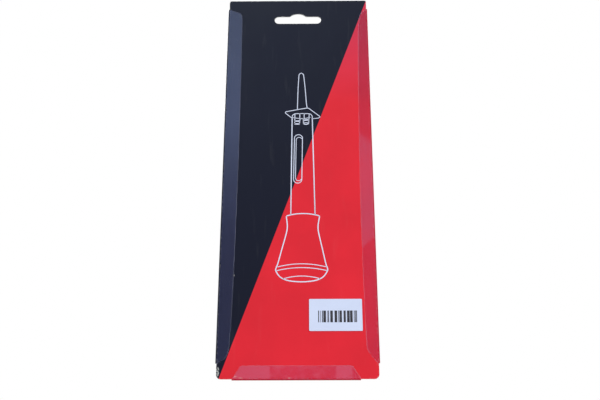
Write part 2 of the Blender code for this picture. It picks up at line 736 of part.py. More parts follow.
def nozzle():
    """A hollow tapered spout that slips over the plug's spigot."""
    foot = FLANGE_TOP + FIT
    socket = SPIGOT_RADIUS + FIT
    socket_top = FLANGE_TOP + SPIGOT_LENGTH + FIT
    base = foot + NOZZLE_FOOT_HEIGHT
    lip = NOZZLE_TIP_RADIUS - SUCTION_RADIUS
    profile = [
        (SUCTION_RADIUS, NOZZLE_TIP),
        (SUCTION_RADIUS + lip / 2, NOZZLE_TIP),
        (NOZZLE_TIP_RADIUS - lip / 8, NOZZLE_TIP - lip / 4),
        (NOZZLE_TIP_RADIUS, NOZZLE_TIP - lip),
        (NOZZLE_BASE_RADIUS, base + NOZZLE_FOOT_HEIGHT),
        (NOZZLE_FOOT_RADIUS, base),
        (NOZZLE_FOOT_RADIUS, foot),
        (socket, foot),
        (socket, socket_top),
        (SUCTION_RADIUS, socket_top + (socket - SUCTION_RADIUS)),
    ]
    finish = material("nozzle_plastic", (0.05, 0.05, 0.055), 0.5)
    turned("nozzle", profile, finish, SMALL_STEPS)


def float_tube():
    """The float's clear body: round at its heavy end, which is up here, and open at its foot for the cap."""
    crown = FLOAT_TOP - FLOAT_RADIUS
    body_foot = CAP_SHOULDER + FIT
    outer = arc((0, crown), FLOAT_RADIUS, 0, 90, DOME_STEPS)[:-1]
    inner = arc((0, crown), FLOAT_BORE, 0, 90, DOME_STEPS)[:-1]
    profile = [(0, FLOAT_TOP)] + outer[::-1]
    profile += [(FLOAT_RADIUS, body_foot), (FLOAT_BORE, body_foot)]
    profile += inner + [(0, crown + FLOAT_BORE)]
    finish = material("float_clear", (0.90, 0.93, 0.95), 0.05, alpha=0.35)
    turned("float_tube", profile, finish, SMALL_STEPS)


def float_ballast():
    """The weight that keeps the float upright in use, in its round end."""
    crown = FLOAT_TOP - FLOAT_RADIUS
    dome = arc((0, crown), FLOAT_FILL, 0, 90, DOME_STEPS)[:-1]
    profile = [(0, crown + FLOAT_FILL)] + dome[::-1]
    profile += [(FLOAT_FILL, FLOAT_TOP - BALLAST_LENGTH), (0, FLOAT_TOP - BALLAST_LENGTH)]
    finish = material("ballast_metal", (0.30, 0.30, 0.32), 0.5, 1.0)
    turned("float_ballast", profile, finish, SMALL_STEPS)


def float_resin():
    """The plug of resin that locks the ballast in."""
    lead = FIT / 2
    foot = RESIN_TOP - RESIN_LENGTH
    profile = [
        (0, RESIN_TOP),
        (FLOAT_FILL - lead, RESIN_TOP),
        (FLOAT_FILL, RESIN_TOP - lead),
        (FLOAT_FILL, foot + lead),
        (FLOAT_FILL - lead, foot),
        (0, foot),
    ]
    finish = material("resin_red", (0.55, 0.05, 0.04), 0.35)
    turned("float_resin", profile, finish, SMALL_STEPS)


def float_scale():
    """The rolled strip that carries the coloured bands."""
    foot = CAP_TOP + SCALE_ROOM
    profile = [
        (FLOAT_FILL - SCALE_THICKNESS, foot),
        (FLOAT_FILL - SCALE_THICKNESS, SCALE_TOP),
        (FLOAT_FILL, SCALE_TOP),
        (FLOAT_FILL, foot),
    ]
    finish = material("scale_paper", (0.9, 0.9, 0.88), 0.6)
    turned("float_scale", profile, finish, SMALL_STEPS)


def float_cap():
    """The stopper in the float's open end."""
    lead = FIT
    profile = [
        (0, CAP_TOP),
        (FLOAT_FILL - lead, CAP_TOP),
        (FLOAT_FILL, CAP_TOP - lead),
        (FLOAT_FILL, CAP_SHOULDER),
        (FLOAT_RADIUS, CAP_SHOULDER),
        (FLOAT_RADIUS, FLOAT_FOOT + lead),
        (FLOAT_RADIUS - lead, FLOAT_FOOT),
        (0, FLOAT_FOOT),
    ]
    finish = material("cap_plastic", (0.75, 0.06, 0.05), 0.4)
    turned("float_cap", profile, finish, SMALL_STEPS)


def finish_edges():
    """Smooth shading on everything that is round."""
    for obj in PARTS.objects:
        if obj.name not in ("backing_card", "barcode_label"):
            round_off(obj.data)


clear_scene()
PARTS = collection("battery_acid_tester_pack")
CUTTERS = collection("cutters")
SLOT_CUTTER = as_cutter(
    flat_plate(
        "hang_slot_cutter",
        hang_slot_outline(),
        FRONT_Y - BACK_Y + 2 * OVERRUN,
        (FRONT_Y + BACK_Y) / 2,
        None,
        CUTTERS,
    )
)

backing_card()
barcode_label()
blister_shell()
rubber_bulb()
barrel()
float_retainer()
flange_plug()
nozzle()
float_tube()
float_ballast()
float_resin()
float_scale()
float_cap()
finish_edges()
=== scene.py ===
# %% [markdown]
# # A battery acid tester in its hanging pack
# The object is a shop pack, seen from its printed side. A card hangs by a slot near its top. A clear formed
# sheet lies behind the card, its edges are folded round the card, and its pocket holds a small tester:
# a rubber bulb, a clear barrel with a float in it, a square flanged plug and a tapered nozzle.
# This lesson dresses the measured model. Everything is in metres, +Z runs up the card, the printed face
# looks along -Y and the pocket bulges along +Y. Each new piece takes its place from the measured one.

# %% Load the measured model
import math
import random

import bmesh
import bpy
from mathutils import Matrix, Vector


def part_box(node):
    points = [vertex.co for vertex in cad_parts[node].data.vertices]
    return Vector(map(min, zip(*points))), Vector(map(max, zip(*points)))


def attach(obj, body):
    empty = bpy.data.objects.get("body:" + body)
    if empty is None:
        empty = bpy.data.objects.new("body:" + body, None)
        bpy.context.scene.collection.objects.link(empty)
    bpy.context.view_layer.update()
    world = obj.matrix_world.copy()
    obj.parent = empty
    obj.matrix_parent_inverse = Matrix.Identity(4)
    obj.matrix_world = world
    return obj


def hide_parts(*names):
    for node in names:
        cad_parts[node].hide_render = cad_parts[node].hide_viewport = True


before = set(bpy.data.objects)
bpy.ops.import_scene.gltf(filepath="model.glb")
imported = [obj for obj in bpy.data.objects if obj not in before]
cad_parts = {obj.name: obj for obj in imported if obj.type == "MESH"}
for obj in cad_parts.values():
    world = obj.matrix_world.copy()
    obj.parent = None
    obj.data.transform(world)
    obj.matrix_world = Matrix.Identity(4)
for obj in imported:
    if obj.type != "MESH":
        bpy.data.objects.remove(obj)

MM = 0.001

scene = bpy.context.scene
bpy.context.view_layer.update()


def in_mm(length):
    """A length in millimetres, for what the cells print."""
    return round(length / MM, 1)


print("measured pieces:", ", ".join(sorted(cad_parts)))

# %% [markdown]
# ## The camera
# A long card that is seen from below its middle draws together towards its top. The slant of its two long
# sides fixes how far the camera looks up, and the width of the card fixes how far away it stands. The camera
# is set down by these numbers alone, and every other view swings it round the object.

# %% Camera
LENS = 54.32
CAMERA_PLACE = (0.00624, -0.5488, -0.38829)
CAMERA_TURN = (114.046, 0.023, 0.506)


def add_object(name, data):
    """Puts a new object with its data into the scene."""
    made = bpy.data.objects.new(name, data)
    scene.collection.objects.link(made)
    return made


lens = bpy.data.cameras.new("camera")
lens.lens = LENS
camera = add_object("camera", lens)
camera.location = CAMERA_PLACE
camera.rotation_euler = [math.radians(angle) for angle in CAMERA_TURN]
scene.camera = camera
scene.view_settings.view_transform = "Standard"
print("camera", round(camera.location.length, 3), "m from the hang slot")

# %% [markdown]
# ## Helpers for node trees
# The light and all finishes below are trees of nodes. One helper adds a node, sets its properties and fills
# its sockets with values or links. The others are short names for the steps that come back most often, so
# that a tree reads from top to bottom like a recipe.

# %% Node helpers
def fill(tree, node, sockets):
    """Fills a node's sockets, named or numbered, with plain values or with other nodes' outputs."""
    for name, value in sockets.items():
        if isinstance(value, bpy.types.NodeSocket):
            tree.links.new(value, node.inputs[name])
        else:
            node.inputs[name].default_value = value


def put(tree, kind, sockets=None, **settings):
    """Adds a node with its settings and fills its sockets."""
    made = tree.nodes.new(kind)
    for name, value in settings.items():
        setattr(made, name, value)
    fill(tree, made, sockets or {})
    return made


def worked(tree, operation, *values):
    """Works through values from left to right with Math nodes, and gives the last one's output.
    An operation on a single value, such as ABSOLUTE, takes no notice of the second, so 0 stands there."""
    result = values[0]
    for value in values[1:]:
        result = put(tree, "ShaderNodeMath", {0: result, 1: value}, operation=operation).outputs[0]
    return result


def times(tree, *values):
    """All values multiplied."""
    return worked(tree, "MULTIPLY", *values)


def plus(tree, *values):
    """All values added."""
    return worked(tree, "ADD", *values)


def highest(tree, *values):
    """The highest of all values."""
    return worked(tree, "MAXIMUM", *values)


def ranged(tree, value, low, high, to_low=0.0, to_high=1.0):
    """A value moved from one range to another, and held between its ends."""
    sockets = {"Value": value, "From Min": low, "From Max": high, "To Min": to_low, "To Max": to_high}
    return put(tree, "ShaderNodeMapRange", sockets, clamp=True).outputs["Result"]


def mixed(tree, share, first, second, way="MIX"):
    """Two colours mixed. Each is three numbers or another node's output."""
    first, second = (c if isinstance(c, bpy.types.NodeSocket) else (*c, 1.0) for c in (first, second))
    sockets = {0: share, 6: first, 7: second}
    return put(tree, "ShaderNodeMix", sockets, data_type="RGBA", blend_type=way).outputs[2]


def place_on(tree):
    """Where a point of the surface lies on its piece, in metres."""
    return put(tree, "ShaderNodeTexCoord").outputs["Object"]


def noise(tree, where, scale, detail):
    """A noise with about that many blobs in a metre."""
    return put(tree, "ShaderNodeTexNoise", {"Vector": where, "Scale": scale, "Detail": detail}).outputs[0]


print("node helpers are ready")

# %% [markdown]
# ## The light
# A product on white needs an even light that comes from everywhere, and a few large soft lamps that give
# the clear sheet something to mirror. The world does the first job. It has two strengths: a moderate one
# that lights the object, and plain white for what the camera sees directly, in a mirror or through glass.
# A brighter world would also give a white background, but it would wash out every colour on the card.

# %% World
WORLD_LIGHT = 0.70
WHITE = (1, 1, 1, 1)
DIRECT_RAYS = ("Is Camera Ray", "Is Glossy Ray", "Is Transmission Ray")

world = bpy.data.worlds.new("even_light")
world.use_nodes = True
scene.world = world
tree = world.node_tree
tree.nodes.clear()
path = put(tree, "ShaderNodeLightPath").outputs
seen = highest(tree, *(path[ray] for ray in DIRECT_RAYS))
glow = put(tree, "ShaderNodeBackground", {"Color": WHITE, "Strength": WORLD_LIGHT}).outputs[0]
plain = put(tree, "ShaderNodeBackground", {"Color": WHITE}).outputs[0]
choice = put(tree, "ShaderNodeMixShader", {0: seen, 1: glow, 2: plain}).outputs[0]
put(tree, "ShaderNodeOutputWorld", {"Surface": choice})
print("world lights at", WORLD_LIGHT)

# %% [markdown]
# Each wall of clear plastic is two faces. A look through the sheet, the barrel, the float and the sheet's far
# side meets more than a dozen of them, and Blender gives up after eight and paints black. So it may go on.

# %% Clear layers
CLEAR_FACES = 32

scene.cycles.transparent_max_bounces = CLEAR_FACES
print("a look may pass", CLEAR_FACES, "clear faces")

# %% [markdown]
# Three lamps stand round the pack. The first is above the printed side, where a glossy card seen from
# below mirrors it most near its top. The second fills in from the right, and the third lights the pocket.

# %% Lamps
# name, place, side in metres, power in watts, colour
LAMPS = (
    ("upper_front", (-0.20, -0.95, 0.95), 0.7, 4.0, (0.72, 0.88, 1.0)),
    ("right_front", (0.85, -0.55, 0.05), 0.6, 2.4, (1.0, 1.0, 1.0)),
    ("pocket_side", (-0.45, 0.85, 0.85), 0.7, 7.0, (1.0, 1.0, 1.0)),
)

pack_low, pack_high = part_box("blister_shell")
pack_middle = (pack_low + pack_high) / 2
for name, place, side, watts, colour in LAMPS:
    lamp = bpy.data.lights.new(name, "AREA")
    lamp.size = side
    lamp.energy = watts
    lamp.color = colour
    holder = add_object(name, lamp)
    holder.location = place
    aim = pack_middle - Vector(place)
    holder.rotation_euler = aim.to_track_quat("-Z", "Y").to_euler()
    print(name, "is", round(aim.length, 2), "m away")

# %% [markdown]
# ## Effects that several materials share
# A real surface is never even. Moulded plastic, printed card and rubber all vary a little in gloss over a
# few centimetres and have a grain of a few tenths of a millimetre. Both come from noise, so both are node
# groups that each material sets for itself. Image textures could do the same, but they need files.

# %% Uneven gloss and fine grain
CLOUD_SPAN = (0.32, 0.68)


def new_group(name, inputs, output):
    """A shader node group with float inputs, and the socket that its one output is linked to."""
    group = bpy.data.node_groups.new(name, "ShaderNodeTree")
    for label, value in inputs:
        group.interface.new_socket(label, in_out="INPUT", socket_type="NodeSocketFloat").default_value = value
    group.interface.new_socket(output, in_out="OUTPUT", socket_type="NodeSocketFloat")
    return group, group.nodes.new("NodeGroupInput").outputs, group.nodes.new("NodeGroupOutput").inputs[0]


def use(tree, group, **values):
    """Places a group in a material with its own values, and gives its output."""
    return put(tree, "ShaderNodeGroup", values, node_tree=group).outputs[0]


uneven, sockets, result = new_group("uneven", (("Scale", 60.0), ("Low", 0.4), ("High", 0.6)), "Value")
cloud = noise(uneven, place_on(uneven), sockets["Scale"], detail=4.0)
uneven.links.new(ranged(uneven, cloud, *CLOUD_SPAN, sockets["Low"], sockets["High"]), result)

grain, sockets, result = new_group("grain", (("Scale", 1800.0),), "Height")
grain.links.new(noise(grain, place_on(grain), sockets["Scale"], detail=2.0), result)
print("groups:", uneven.name, grain.name)

# %% [markdown]
# Handling leaves long fine scratches, and shop dust settles as specks. Stretching the coordinates of a noise
# along one direction turns its blobs into scratches. A Voronoi pattern has one point in each cell, and a
# small disc round some of those points makes specks.

# %% Scratches and dust
SCRATCH_SPAN = (0.60, 0.72)
CLEAN_CELLS = 0.82

inputs = (("Scale", 90.0), ("Stretch", 0.06), ("Turn", 0.4), ("Amount", 1.0))
scratches, sockets, result = new_group("scratches", inputs, "Mask")
turn = put(scratches, "ShaderNodeCombineXYZ", {"Y": sockets["Turn"]}).outputs[0]
stretch = put(scratches, "ShaderNodeCombineXYZ", {"X": 1.0, "Y": 1.0, "Z": sockets["Stretch"]}).outputs[0]
mapping = {"Vector": place_on(scratches), "Rotation": turn, "Scale": stretch}
laid = put(scratches, "ShaderNodeMapping", mapping).outputs[0]
lines = ranged(scratches, noise(scratches, laid, sockets["Scale"], detail=6.0), *SCRATCH_SPAN)
scratches.links.new(times(scratches, lines, sockets["Amount"]), result)

dust, sockets, result = new_group("dust", (("Scale", 260.0), ("Size", 0.12), ("Amount", 1.0)), "Mask")
cells = put(dust, "ShaderNodeTexVoronoi", {"Vector": place_on(dust), "Scale": sockets["Scale"]}).outputs
speck = worked(dust, "LESS_THAN", cells["Distance"], sockets["Size"])
lot = put(dust, "ShaderNodeSeparateColor", {0: cells["Color"]}).outputs[0]
dusty = worked(dust, "GREATER_THAN", lot, CLEAN_CELLS)
dust.links.new(times(dust, speck, dusty, sockets["Amount"]), result)
print("groups:", scratches.name, dust.name)

# %% [markdown]
# Edges wear first. The Bevel node gives the normal that a rounded edge would have, so where it differs from
# the true normal there is an edge nearby. Noise breaks that band up, because wear is never a clean line.

# %% Worn edges
EDGE_SPAN = (0.98, 0.72)
BROKEN_SPAN = (0.50, 0.62)

inputs = (("Radius", 0.0006), ("Scale", 700.0), ("Amount", 1.0))
worn, sockets, result = new_group("worn_edges", inputs, "Mask")
rounded = put(worn, "ShaderNodeBevel", {"Radius": sockets["Radius"]}, samples=6).outputs[0]
true = put(worn, "ShaderNodeNewGeometry").outputs["Normal"]
same = put(worn, "ShaderNodeVectorMath", {0: rounded, 1: true}, operation="DOT_PRODUCT").outputs["Value"]
near = ranged(worn, same, *EDGE_SPAN)
broken = ranged(worn, noise(worn, place_on(worn), sockets["Scale"], detail=4.0), *BROKEN_SPAN)
worn.links.new(times(worn, near, broken, sockets["Amount"]), result)
print("group:", worn.name)

# %% [markdown]
# ## Two kinds of finish
# Most pieces here are either solid or clear. A solid finish is one Principled shader whose colour, roughness
# and normal vary. A clear one has to show what lies behind it and still mirror the lamps at full strength.
# Real refraction through a thin sheet hardly moves the picture behind it and gives a noisy render, so the
# sheet is a see-through Principled shader for its haze, with a mirror mixed in that grows at a low angle.

# %% Finish builders
MIRROR_RISE = 4.0
RIM_HAZE = 0.30
SHADE = 0.08
PATCHES = 70.0
GLOSS_PATCHES = 45.0
HAZE_PATCHES = 38.0
# waves in a metre, and their depth in metres
SHEET_WAVES = (240.0, 0.00002)


def new_finish(name, sockets=None):
    """A material with its tree and its Principled shader."""
    made = bpy.data.materials.new(name)
    made.use_nodes = True
    shader = made.node_tree.nodes["Principled BSDF"]
    fill(made.node_tree, shader, sockets or {})
    return made, made.node_tree, shader


def grained(tree, shader, scale, depth):
    """Gives a shader a fine grain of that depth in metres."""
    height = use(tree, grain, Scale=scale)
    bump = put(tree, "ShaderNodeBump", {"Height": height, "Distance": depth}).outputs[0]
    fill(tree, shader, {"Normal": bump})
    return bump


def shaded(tree, colour, scale, shade):
    """A colour with patches that are darker and lighter by a share of it."""
    patches = use(tree, uneven, Scale=scale, Low=1.0 - shade, High=1.0 + shade)
    grey = put(tree, "ShaderNodeCombineXYZ", {"X": patches, "Y": patches, "Z": patches}).outputs[0]
    return mixed(tree, 1.0, colour, grey, "MULTIPLY")


def solid_finish(name, colour, rough, blobs, wear=None, shade=SHADE, sockets=None):
    """A solid finish. rough is its lowest and highest roughness, blobs its grain's scale and depth,
    wear the colour that its edges wear to, and shade how far its patches are darker and lighter."""
    made, tree, shader = new_finish(name, sockets)
    tone = shaded(tree, colour, PATCHES, shade)
    if wear:
        tone = mixed(tree, use(tree, worn), tone, wear)
    gloss = use(tree, uneven, Scale=GLOSS_PATCHES, Low=rough[0], High=rough[1])
    fill(tree, shader, {"Base Color": tone, "Roughness": gloss})
    grained(tree, shader, *blobs)
    return made


def mirror_share(tree, along):
    """The share of light that a face mirrors: next to none seen square, and along at a low angle."""
    facing = put(tree, "ShaderNodeLayerWeight", {"Blend": 0.5}).outputs["Facing"]
    return times(tree, worked(tree, "POWER", facing, MIRROR_RISE), along)


def clear_finish(name, colour, haze, rough, scuffs, extra_haze=None, along=1.0):
    """A clear finish. haze is the lowest and highest share of light that one face holds back."""
    sockets = {"Base Color": (*colour, 1.0), "Roughness": 0.5, "Specular IOR Level": 0.0}
    made, tree, shader = new_finish(name, sockets)
    milky = plus(tree, use(tree, uneven, Scale=HAZE_PATCHES, Low=haze[0], High=haze[1]),
                 use(tree, scratches, Amount=scuffs), use(tree, dust, Amount=2 * scuffs))
    if extra_haze:
        milky = plus(tree, milky, extra_haze(tree, shader))
    fill(tree, shader, {"Alpha": milky})
    wavy = grained(tree, shader, *SHEET_WAVES)
    mirror = put(tree, "ShaderNodeBsdfAnisotropic", {"Normal": wavy, "Color": WHITE, "Roughness": rough})
    layers = {0: mirror_share(tree, along), 1: shader.outputs[0], 2: mirror.outputs[0]}
    both = put(tree, "ShaderNodeMixShader", layers)
    fill(tree, tree.nodes["Material Output"], {"Surface": both.outputs[0]})
    return made


def rim_haze(tree, shader):
    """Haze that grows where a clear wall is seen along its surface, which draws a tube's outline."""
    return mirror_share(tree, RIM_HAZE)


def lets_light_in(piece):
    """Clear plastic casts almost no shadow, so what lies inside such a piece gets the lamps' full light."""
    piece.visible_shadow = False
    piece.visible_diffuse = False


def dress(node, finish):
    """Gives a finish to a measured piece that stays in view."""
    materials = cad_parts[node].data.materials
    materials.clear()
    materials.append(finish)


print("finish builders are ready")

# %% [markdown]
# ## The floor
# The pack hangs in the air, so its floor is far below and gets next to no shadow. It is a plain matt plane,
# only a little darker than the white around it.

# %% Floor
FLOOR_DROP = 0.36
FLOOR_SIDE = 8.0
FLOOR_TONE = (0.86, 0.86, 0.86)


def add_mesh(name, work):
    """Turns a bmesh into an object in the scene."""
    mesh = bpy.data.meshes.new(name)
    work.to_mesh(mesh)
    work.free()
    return add_object(name, mesh)


plane = bmesh.new()
bmesh.ops.create_grid(plane, x_segments=1, y_segments=1, size=FLOOR_SIDE / 2)
floor = add_mesh("floor", plane)
floor_finish = solid_finish("pale_floor", FLOOR_TONE, rough=(0.7, 0.85), blobs=(900.0, 0.00005), shade=0.01)
floor.data.materials.append(floor_finish)
floor.location.z = pack_low.z - FLOOR_DROP
print("floor at", round(floor.location.z, 3))

# %% [markdown]
# ## The printed card
# The card is a flat board, 0.6 mm thick, so the measured piece is kept and only dressed. Its print is two
# inks with a slanting border, near black on the left and red on the right. The border is one line across the
# card, so its height above the line decides the ink. That needs no picture and stays sharp at any size.
# The board's cut edges and worn corners show its pale core.

# %% Card finish
CARD_BLACK = (0.0042, 0.0060, 0.0185)
CARD_RED = (0.780, 0.021, 0.037)
CARD_RED_SHEEN = (0.66, 0.032, 0.072)
CARD_CORE = (0.60, 0.60, 0.58)
# heights between which the red turns duller and bluer: a painted sheen near the card's top
RED_SHEEN_SPAN = (-0.070, -0.015)
BORDER_TOP_X = 0.0500
BORDER_FOOT_X = -0.0484
BORDER_BLUR = 0.00008
INK_PATCHES = 22.0
INK_SHADE = 0.07

card_low, card_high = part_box("backing_card")
slant = (BORDER_TOP_X - BORDER_FOOT_X) / (card_high.z - card_low.z)
card_finish, tree, shader = new_finish("printed_card", {"Specular IOR Level": 0.12})
where = put(tree, "ShaderNodeTexCoord").outputs
split = put(tree, "ShaderNodeSeparateXYZ", {0: where["Object"]}).outputs
border = times(tree, worked(tree, "SUBTRACT", split["Z"], card_high.z), slant)
beyond = worked(tree, "SUBTRACT", split["X"], BORDER_TOP_X, border)
# the red is mixed towards a painted sheen near the card's top
red = mixed(tree, ranged(tree, split["Z"], *RED_SHEEN_SPAN), CARD_RED, CARD_RED_SHEEN)
ink = mixed(tree, ranged(tree, beyond, -BORDER_BLUR, BORDER_BLUR), CARD_BLACK, red)
scuffed = use(tree, scratches, Scale=260.0, Stretch=0.12, Turn=0.9, Amount=0.012)
ink = mixed(tree, scuffed, shaded(tree, ink, INK_PATCHES, INK_SHADE), CARD_CORE)
print("print border leans", round(math.degrees(math.atan(slant)), 1), "degrees")

# %% Card wear
# x, z, reach along x and along z, in millimetres: coating gone at the lower left corner, and a small nick
CHIPS = ((-49.2, -258.4, 1.1, 3.2), (-40.9, -196.2, 0.45, 0.4))
SPOT_RIM = (1.6, 1.2)
CRUMBS = 900.0
CRUMB_SPAN = (0.44, 0.52)
CRUSH_REACH = 0.006
# how much the left and the right lower corner are crushed
CRUSHED = (1.0, 0.5)
CUT_EDGE_BARE = 0.55
# a cut edge faces the front or the back by less than this share
CUT_EDGE_FACING = 0.5


def spots(tree, split, table, rough):
    """A mask of small spots whose rims a noise makes rough."""
    masks = []
    for x, z, wide, high in table:
        squares = []
        for axis, place, reach in (("X", x, wide), ("Z", z, high)):
            apart = worked(tree, "DIVIDE", worked(tree, "SUBTRACT", split[axis], place * MM), reach * MM)
            squares.append(times(tree, apart, apart))
        masks.append(ranged(tree, plus(tree, *squares, rough), *SPOT_RIM))
    return highest(tree, *masks)


crushed = []
for x, strength in zip((card_low.x, card_high.x), CRUSHED):
    sockets = {0: where["Object"], 1: (x, card_low.y, card_low.z + CRUSH_REACH)}
    apart = put(tree, "ShaderNodeVectorMath", sockets, operation="DISTANCE").outputs["Value"]
    crushed.append(ranged(tree, apart, CRUSH_REACH, 0.0, 0.0, strength))
crumbs = noise(tree, where["Object"], CRUMBS, detail=4.0)
chipped = times(tree, spots(tree, split, CHIPS, crumbs), ranged(tree, crumbs, *CRUMB_SPAN))
edge_wear = use(tree, worn, Radius=0.0011, Scale=520.0, Amount=0.75)
corner_wear = times(tree, highest(tree, *crushed), use(tree, worn, Radius=0.0026, Scale=300.0))
flat = put(tree, "ShaderNodeSeparateXYZ", {0: where["Normal"]}).outputs["Y"]
cut_edge = worked(tree, "LESS_THAN", worked(tree, "ABSOLUTE", flat, 0.0), CUT_EDGE_FACING)
bare = highest(tree, edge_wear, corner_wear, chipped, times(tree, cut_edge, CUT_EDGE_BARE))
gloss = plus(tree, use(tree, uneven, Scale=30.0, Low=0.34, High=0.44), scuffed)
fill(tree, shader, {"Base Color": mixed(tree, bare, ink, CARD_CORE), "Roughness": gloss})
grained(tree, shader, scale=2600.0, depth=0.000012)
dress("backing_card", card_finish)
print("card is", in_mm(card_high.z - card_low.z), "mm long")

# %% [markdown]
# ## New pieces
# A new piece starts as a bmesh, which is a mesh that code can build. One helper turns it into an object with
# its finish, names the body that carries it and hides the measured piece that it stands for. Round pieces
# are turned: half of the piece's outline is drawn once as radius and height, and swept round the tester's
# axis.

# %% Piece helpers
SHARP = math.radians(32)
# faces round a turned piece
BULB_SIDES, BARREL_SIDES, SPOUT_SIDES, FLOAT_SIDES, WEIGHT_SIDES = 96, 80, 64, 56, 48
MERGE = 1e-6
TINY = 1e-9
# the most of a side that the rounding of one corner takes
CORNER_SHARE = 0.45
EASE_STEPS = 3

bulb_low, bulb_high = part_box("rubber_bulb")
axis_y = (bulb_low.y + bulb_high.y) / 2


def new_piece(name, work, finishes, body, node=None):
    """Turns a bmesh into an object that rides on a body and takes a measured node's place."""
    bmesh.ops.remove_doubles(work, verts=work.verts, dist=MERGE)
    bmesh.ops.recalc_face_normals(work, faces=work.faces)
    piece = add_mesh(name, work)
    for finish in finishes:
        piece.data.materials.append(finish)
    piece.data.polygons.foreach_set("use_smooth", [True] * len(piece.data.polygons))
    piece.data.set_sharp_from_angle(angle=SHARP)
    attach(piece, body)
    if node:
        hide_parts(node)
    return piece


def thicken(piece, depth):
    """Gives a surface its thickness, half of it to each side."""
    layer = piece.modifiers.new("thickness", "SOLIDIFY")
    layer.thickness = depth
    layer.offset = 0.0


def even_steps(count):
    """Even steps from 0 to 1, both included."""
    return [i / count for i in range(count + 1)]


def blend(first, second, way):
    """The value part of the way from the first to the second."""
    return first + (second - first) * way


def between(table, place, eased=False):
    """Values between the rows of a table whose places fall from row to row."""
    if place >= table[0][0]:
        return table[0][1:]
    for high, low in zip(table, table[1:]):
        if place >= low[0]:
            way = (high[0] - place) / max(high[0] - low[0], TINY)
            way = way * way * (3 - 2 * way) if eased else way
            return tuple(blend(a, b, way) for a, b in zip(high[1:], low[1:]))
    return table[-1][1:]


def arc(centre, radius, start, end, steps):
    """Points of an arc from one angle to another in degrees, both ends included."""
    angles = [math.radians(blend(start, end, way)) for way in even_steps(steps)]
    return [(centre[0] + radius * math.cos(a), centre[1] + radius * math.sin(a)) for a in angles]


def turned(outline, sides):
    """A bmesh swept round the tester's axis from a closed outline of (radius, height)."""
    work = bmesh.new()
    rings = []
    for radius, height in outline:
        ring = arc((0, axis_y), radius, 0, 360, sides)[:-1] if radius > TINY else [(0, axis_y)]
        rings.append([work.verts.new((x, y, height)) for x, y in ring])
    for low, high in zip(rings, rings[1:] + rings[:1]):
        if len(low) == 1 and len(high) == 1:
            continue
        for i in range(sides):
            j = (i + 1) % sides
            corners = [low[i % len(low)], low[j % len(low)], high[j % len(high)], high[i % len(high)]]
            work.faces.new(list(dict.fromkeys(corners)))
    return work


def eased_corners(outline, radius):
    """Rounds every corner of a closed outline of (radius, height), apart from those on the axis."""
    points = [Vector(point) for point in outline]
    eased = []
    for before, corner, after in zip(points[-1:] + points, points, points[1:] + points[:1]):
        back, ahead = before - corner, after - corner
        if min(corner.x, back.length, ahead.length) < TINY:
            eased.append(tuple(corner))
            continue
        cut = min(radius, back.length * CORNER_SHARE, ahead.length * CORNER_SHARE)
        start, end = corner + back.normalized() * cut, corner + ahead.normalized() * cut
        for way in even_steps(EASE_STEPS):
            eased.append(tuple(start * (1 - way) ** 2 + corner * 2 * way * (1 - way) + end * way**2))
    return eased


print("tester axis at y =", in_mm(axis_y), "mm")

# %% [markdown]
# ## The printed line drawing
# The card shows its contents as a line drawing in one pale ink: spout, square flange, clear barrel with its
# float, and bulb. A texture could carry it, but thin strips of mesh stay crisp at any size and need no file.
# The tester is round, so most lines are half widths on both sides of the drawing's middle line. All places
# are millimetres on the printed face, as (x, z), and a line is smooth through its points or straight.

# %% Drawing helpers
# z, and x of the drawing's middle there
DRAWN_MIDDLE = ((-45.0, 2.4), (-75.0, 3.0), (-155.0, 3.4), (-193.0, 2.5))
ARCH_STEPS = 12


def drawn_middle(z):
    """Where the drawing's middle line lies at a height."""
    return between(DRAWN_MIDDLE, z)[0]


def one_side(profile, side):
    """A profile of (half width, z) set left of the middle line with -1, or right of it with 1."""
    return [(drawn_middle(z) + side * half, z) for half, z in profile]


def whole(profile):
    """A profile along the left side, over its last point in the middle, and back along the right side."""
    return one_side(profile, -1) + one_side(profile[-2::-1], 1)


def arch(half, foot, rise):
    """A line that arches over the middle line."""
    ways = [2 * way - 1 for way in even_steps(ARCH_STEPS)]
    return [(drawn_middle(foot) + half * way, foot + rise * (1 - way**2)) for way in ways]


def pill(head, foot, half, start):
    """A long outline with round ends about two places. It is closed when start is 0."""
    line = arc(head, half, start, 180, ARCH_STEPS) + arc(foot, half, 180, 360 - start, ARCH_STEPS)
    return line if start else line + line[:1]


print("middle line runs from x =", DRAWN_MIDDLE[0][1], "to", DRAWN_MIDDLE[-1][1], "mm")

# %% Lines of the spout, flange and tabs
FINE_LINE = 0.46
MIDDLE_LINE = 0.52
LINE = 0.54
BOLD_LINE = 0.76
TAB_BAR = 1.0
SPOUT_SIDE = [(3.1, -70.0), (2.5, -58.1), (1.7, -47.6), (1.2, -45.9), (0, -45.1)]
MOUTH_SIDE = [(7.0, -81.3), (6.8, -79.6), (6.1, -78.6), (4.9, -78.0), (2.6, -77.85), (0, -77.8)]

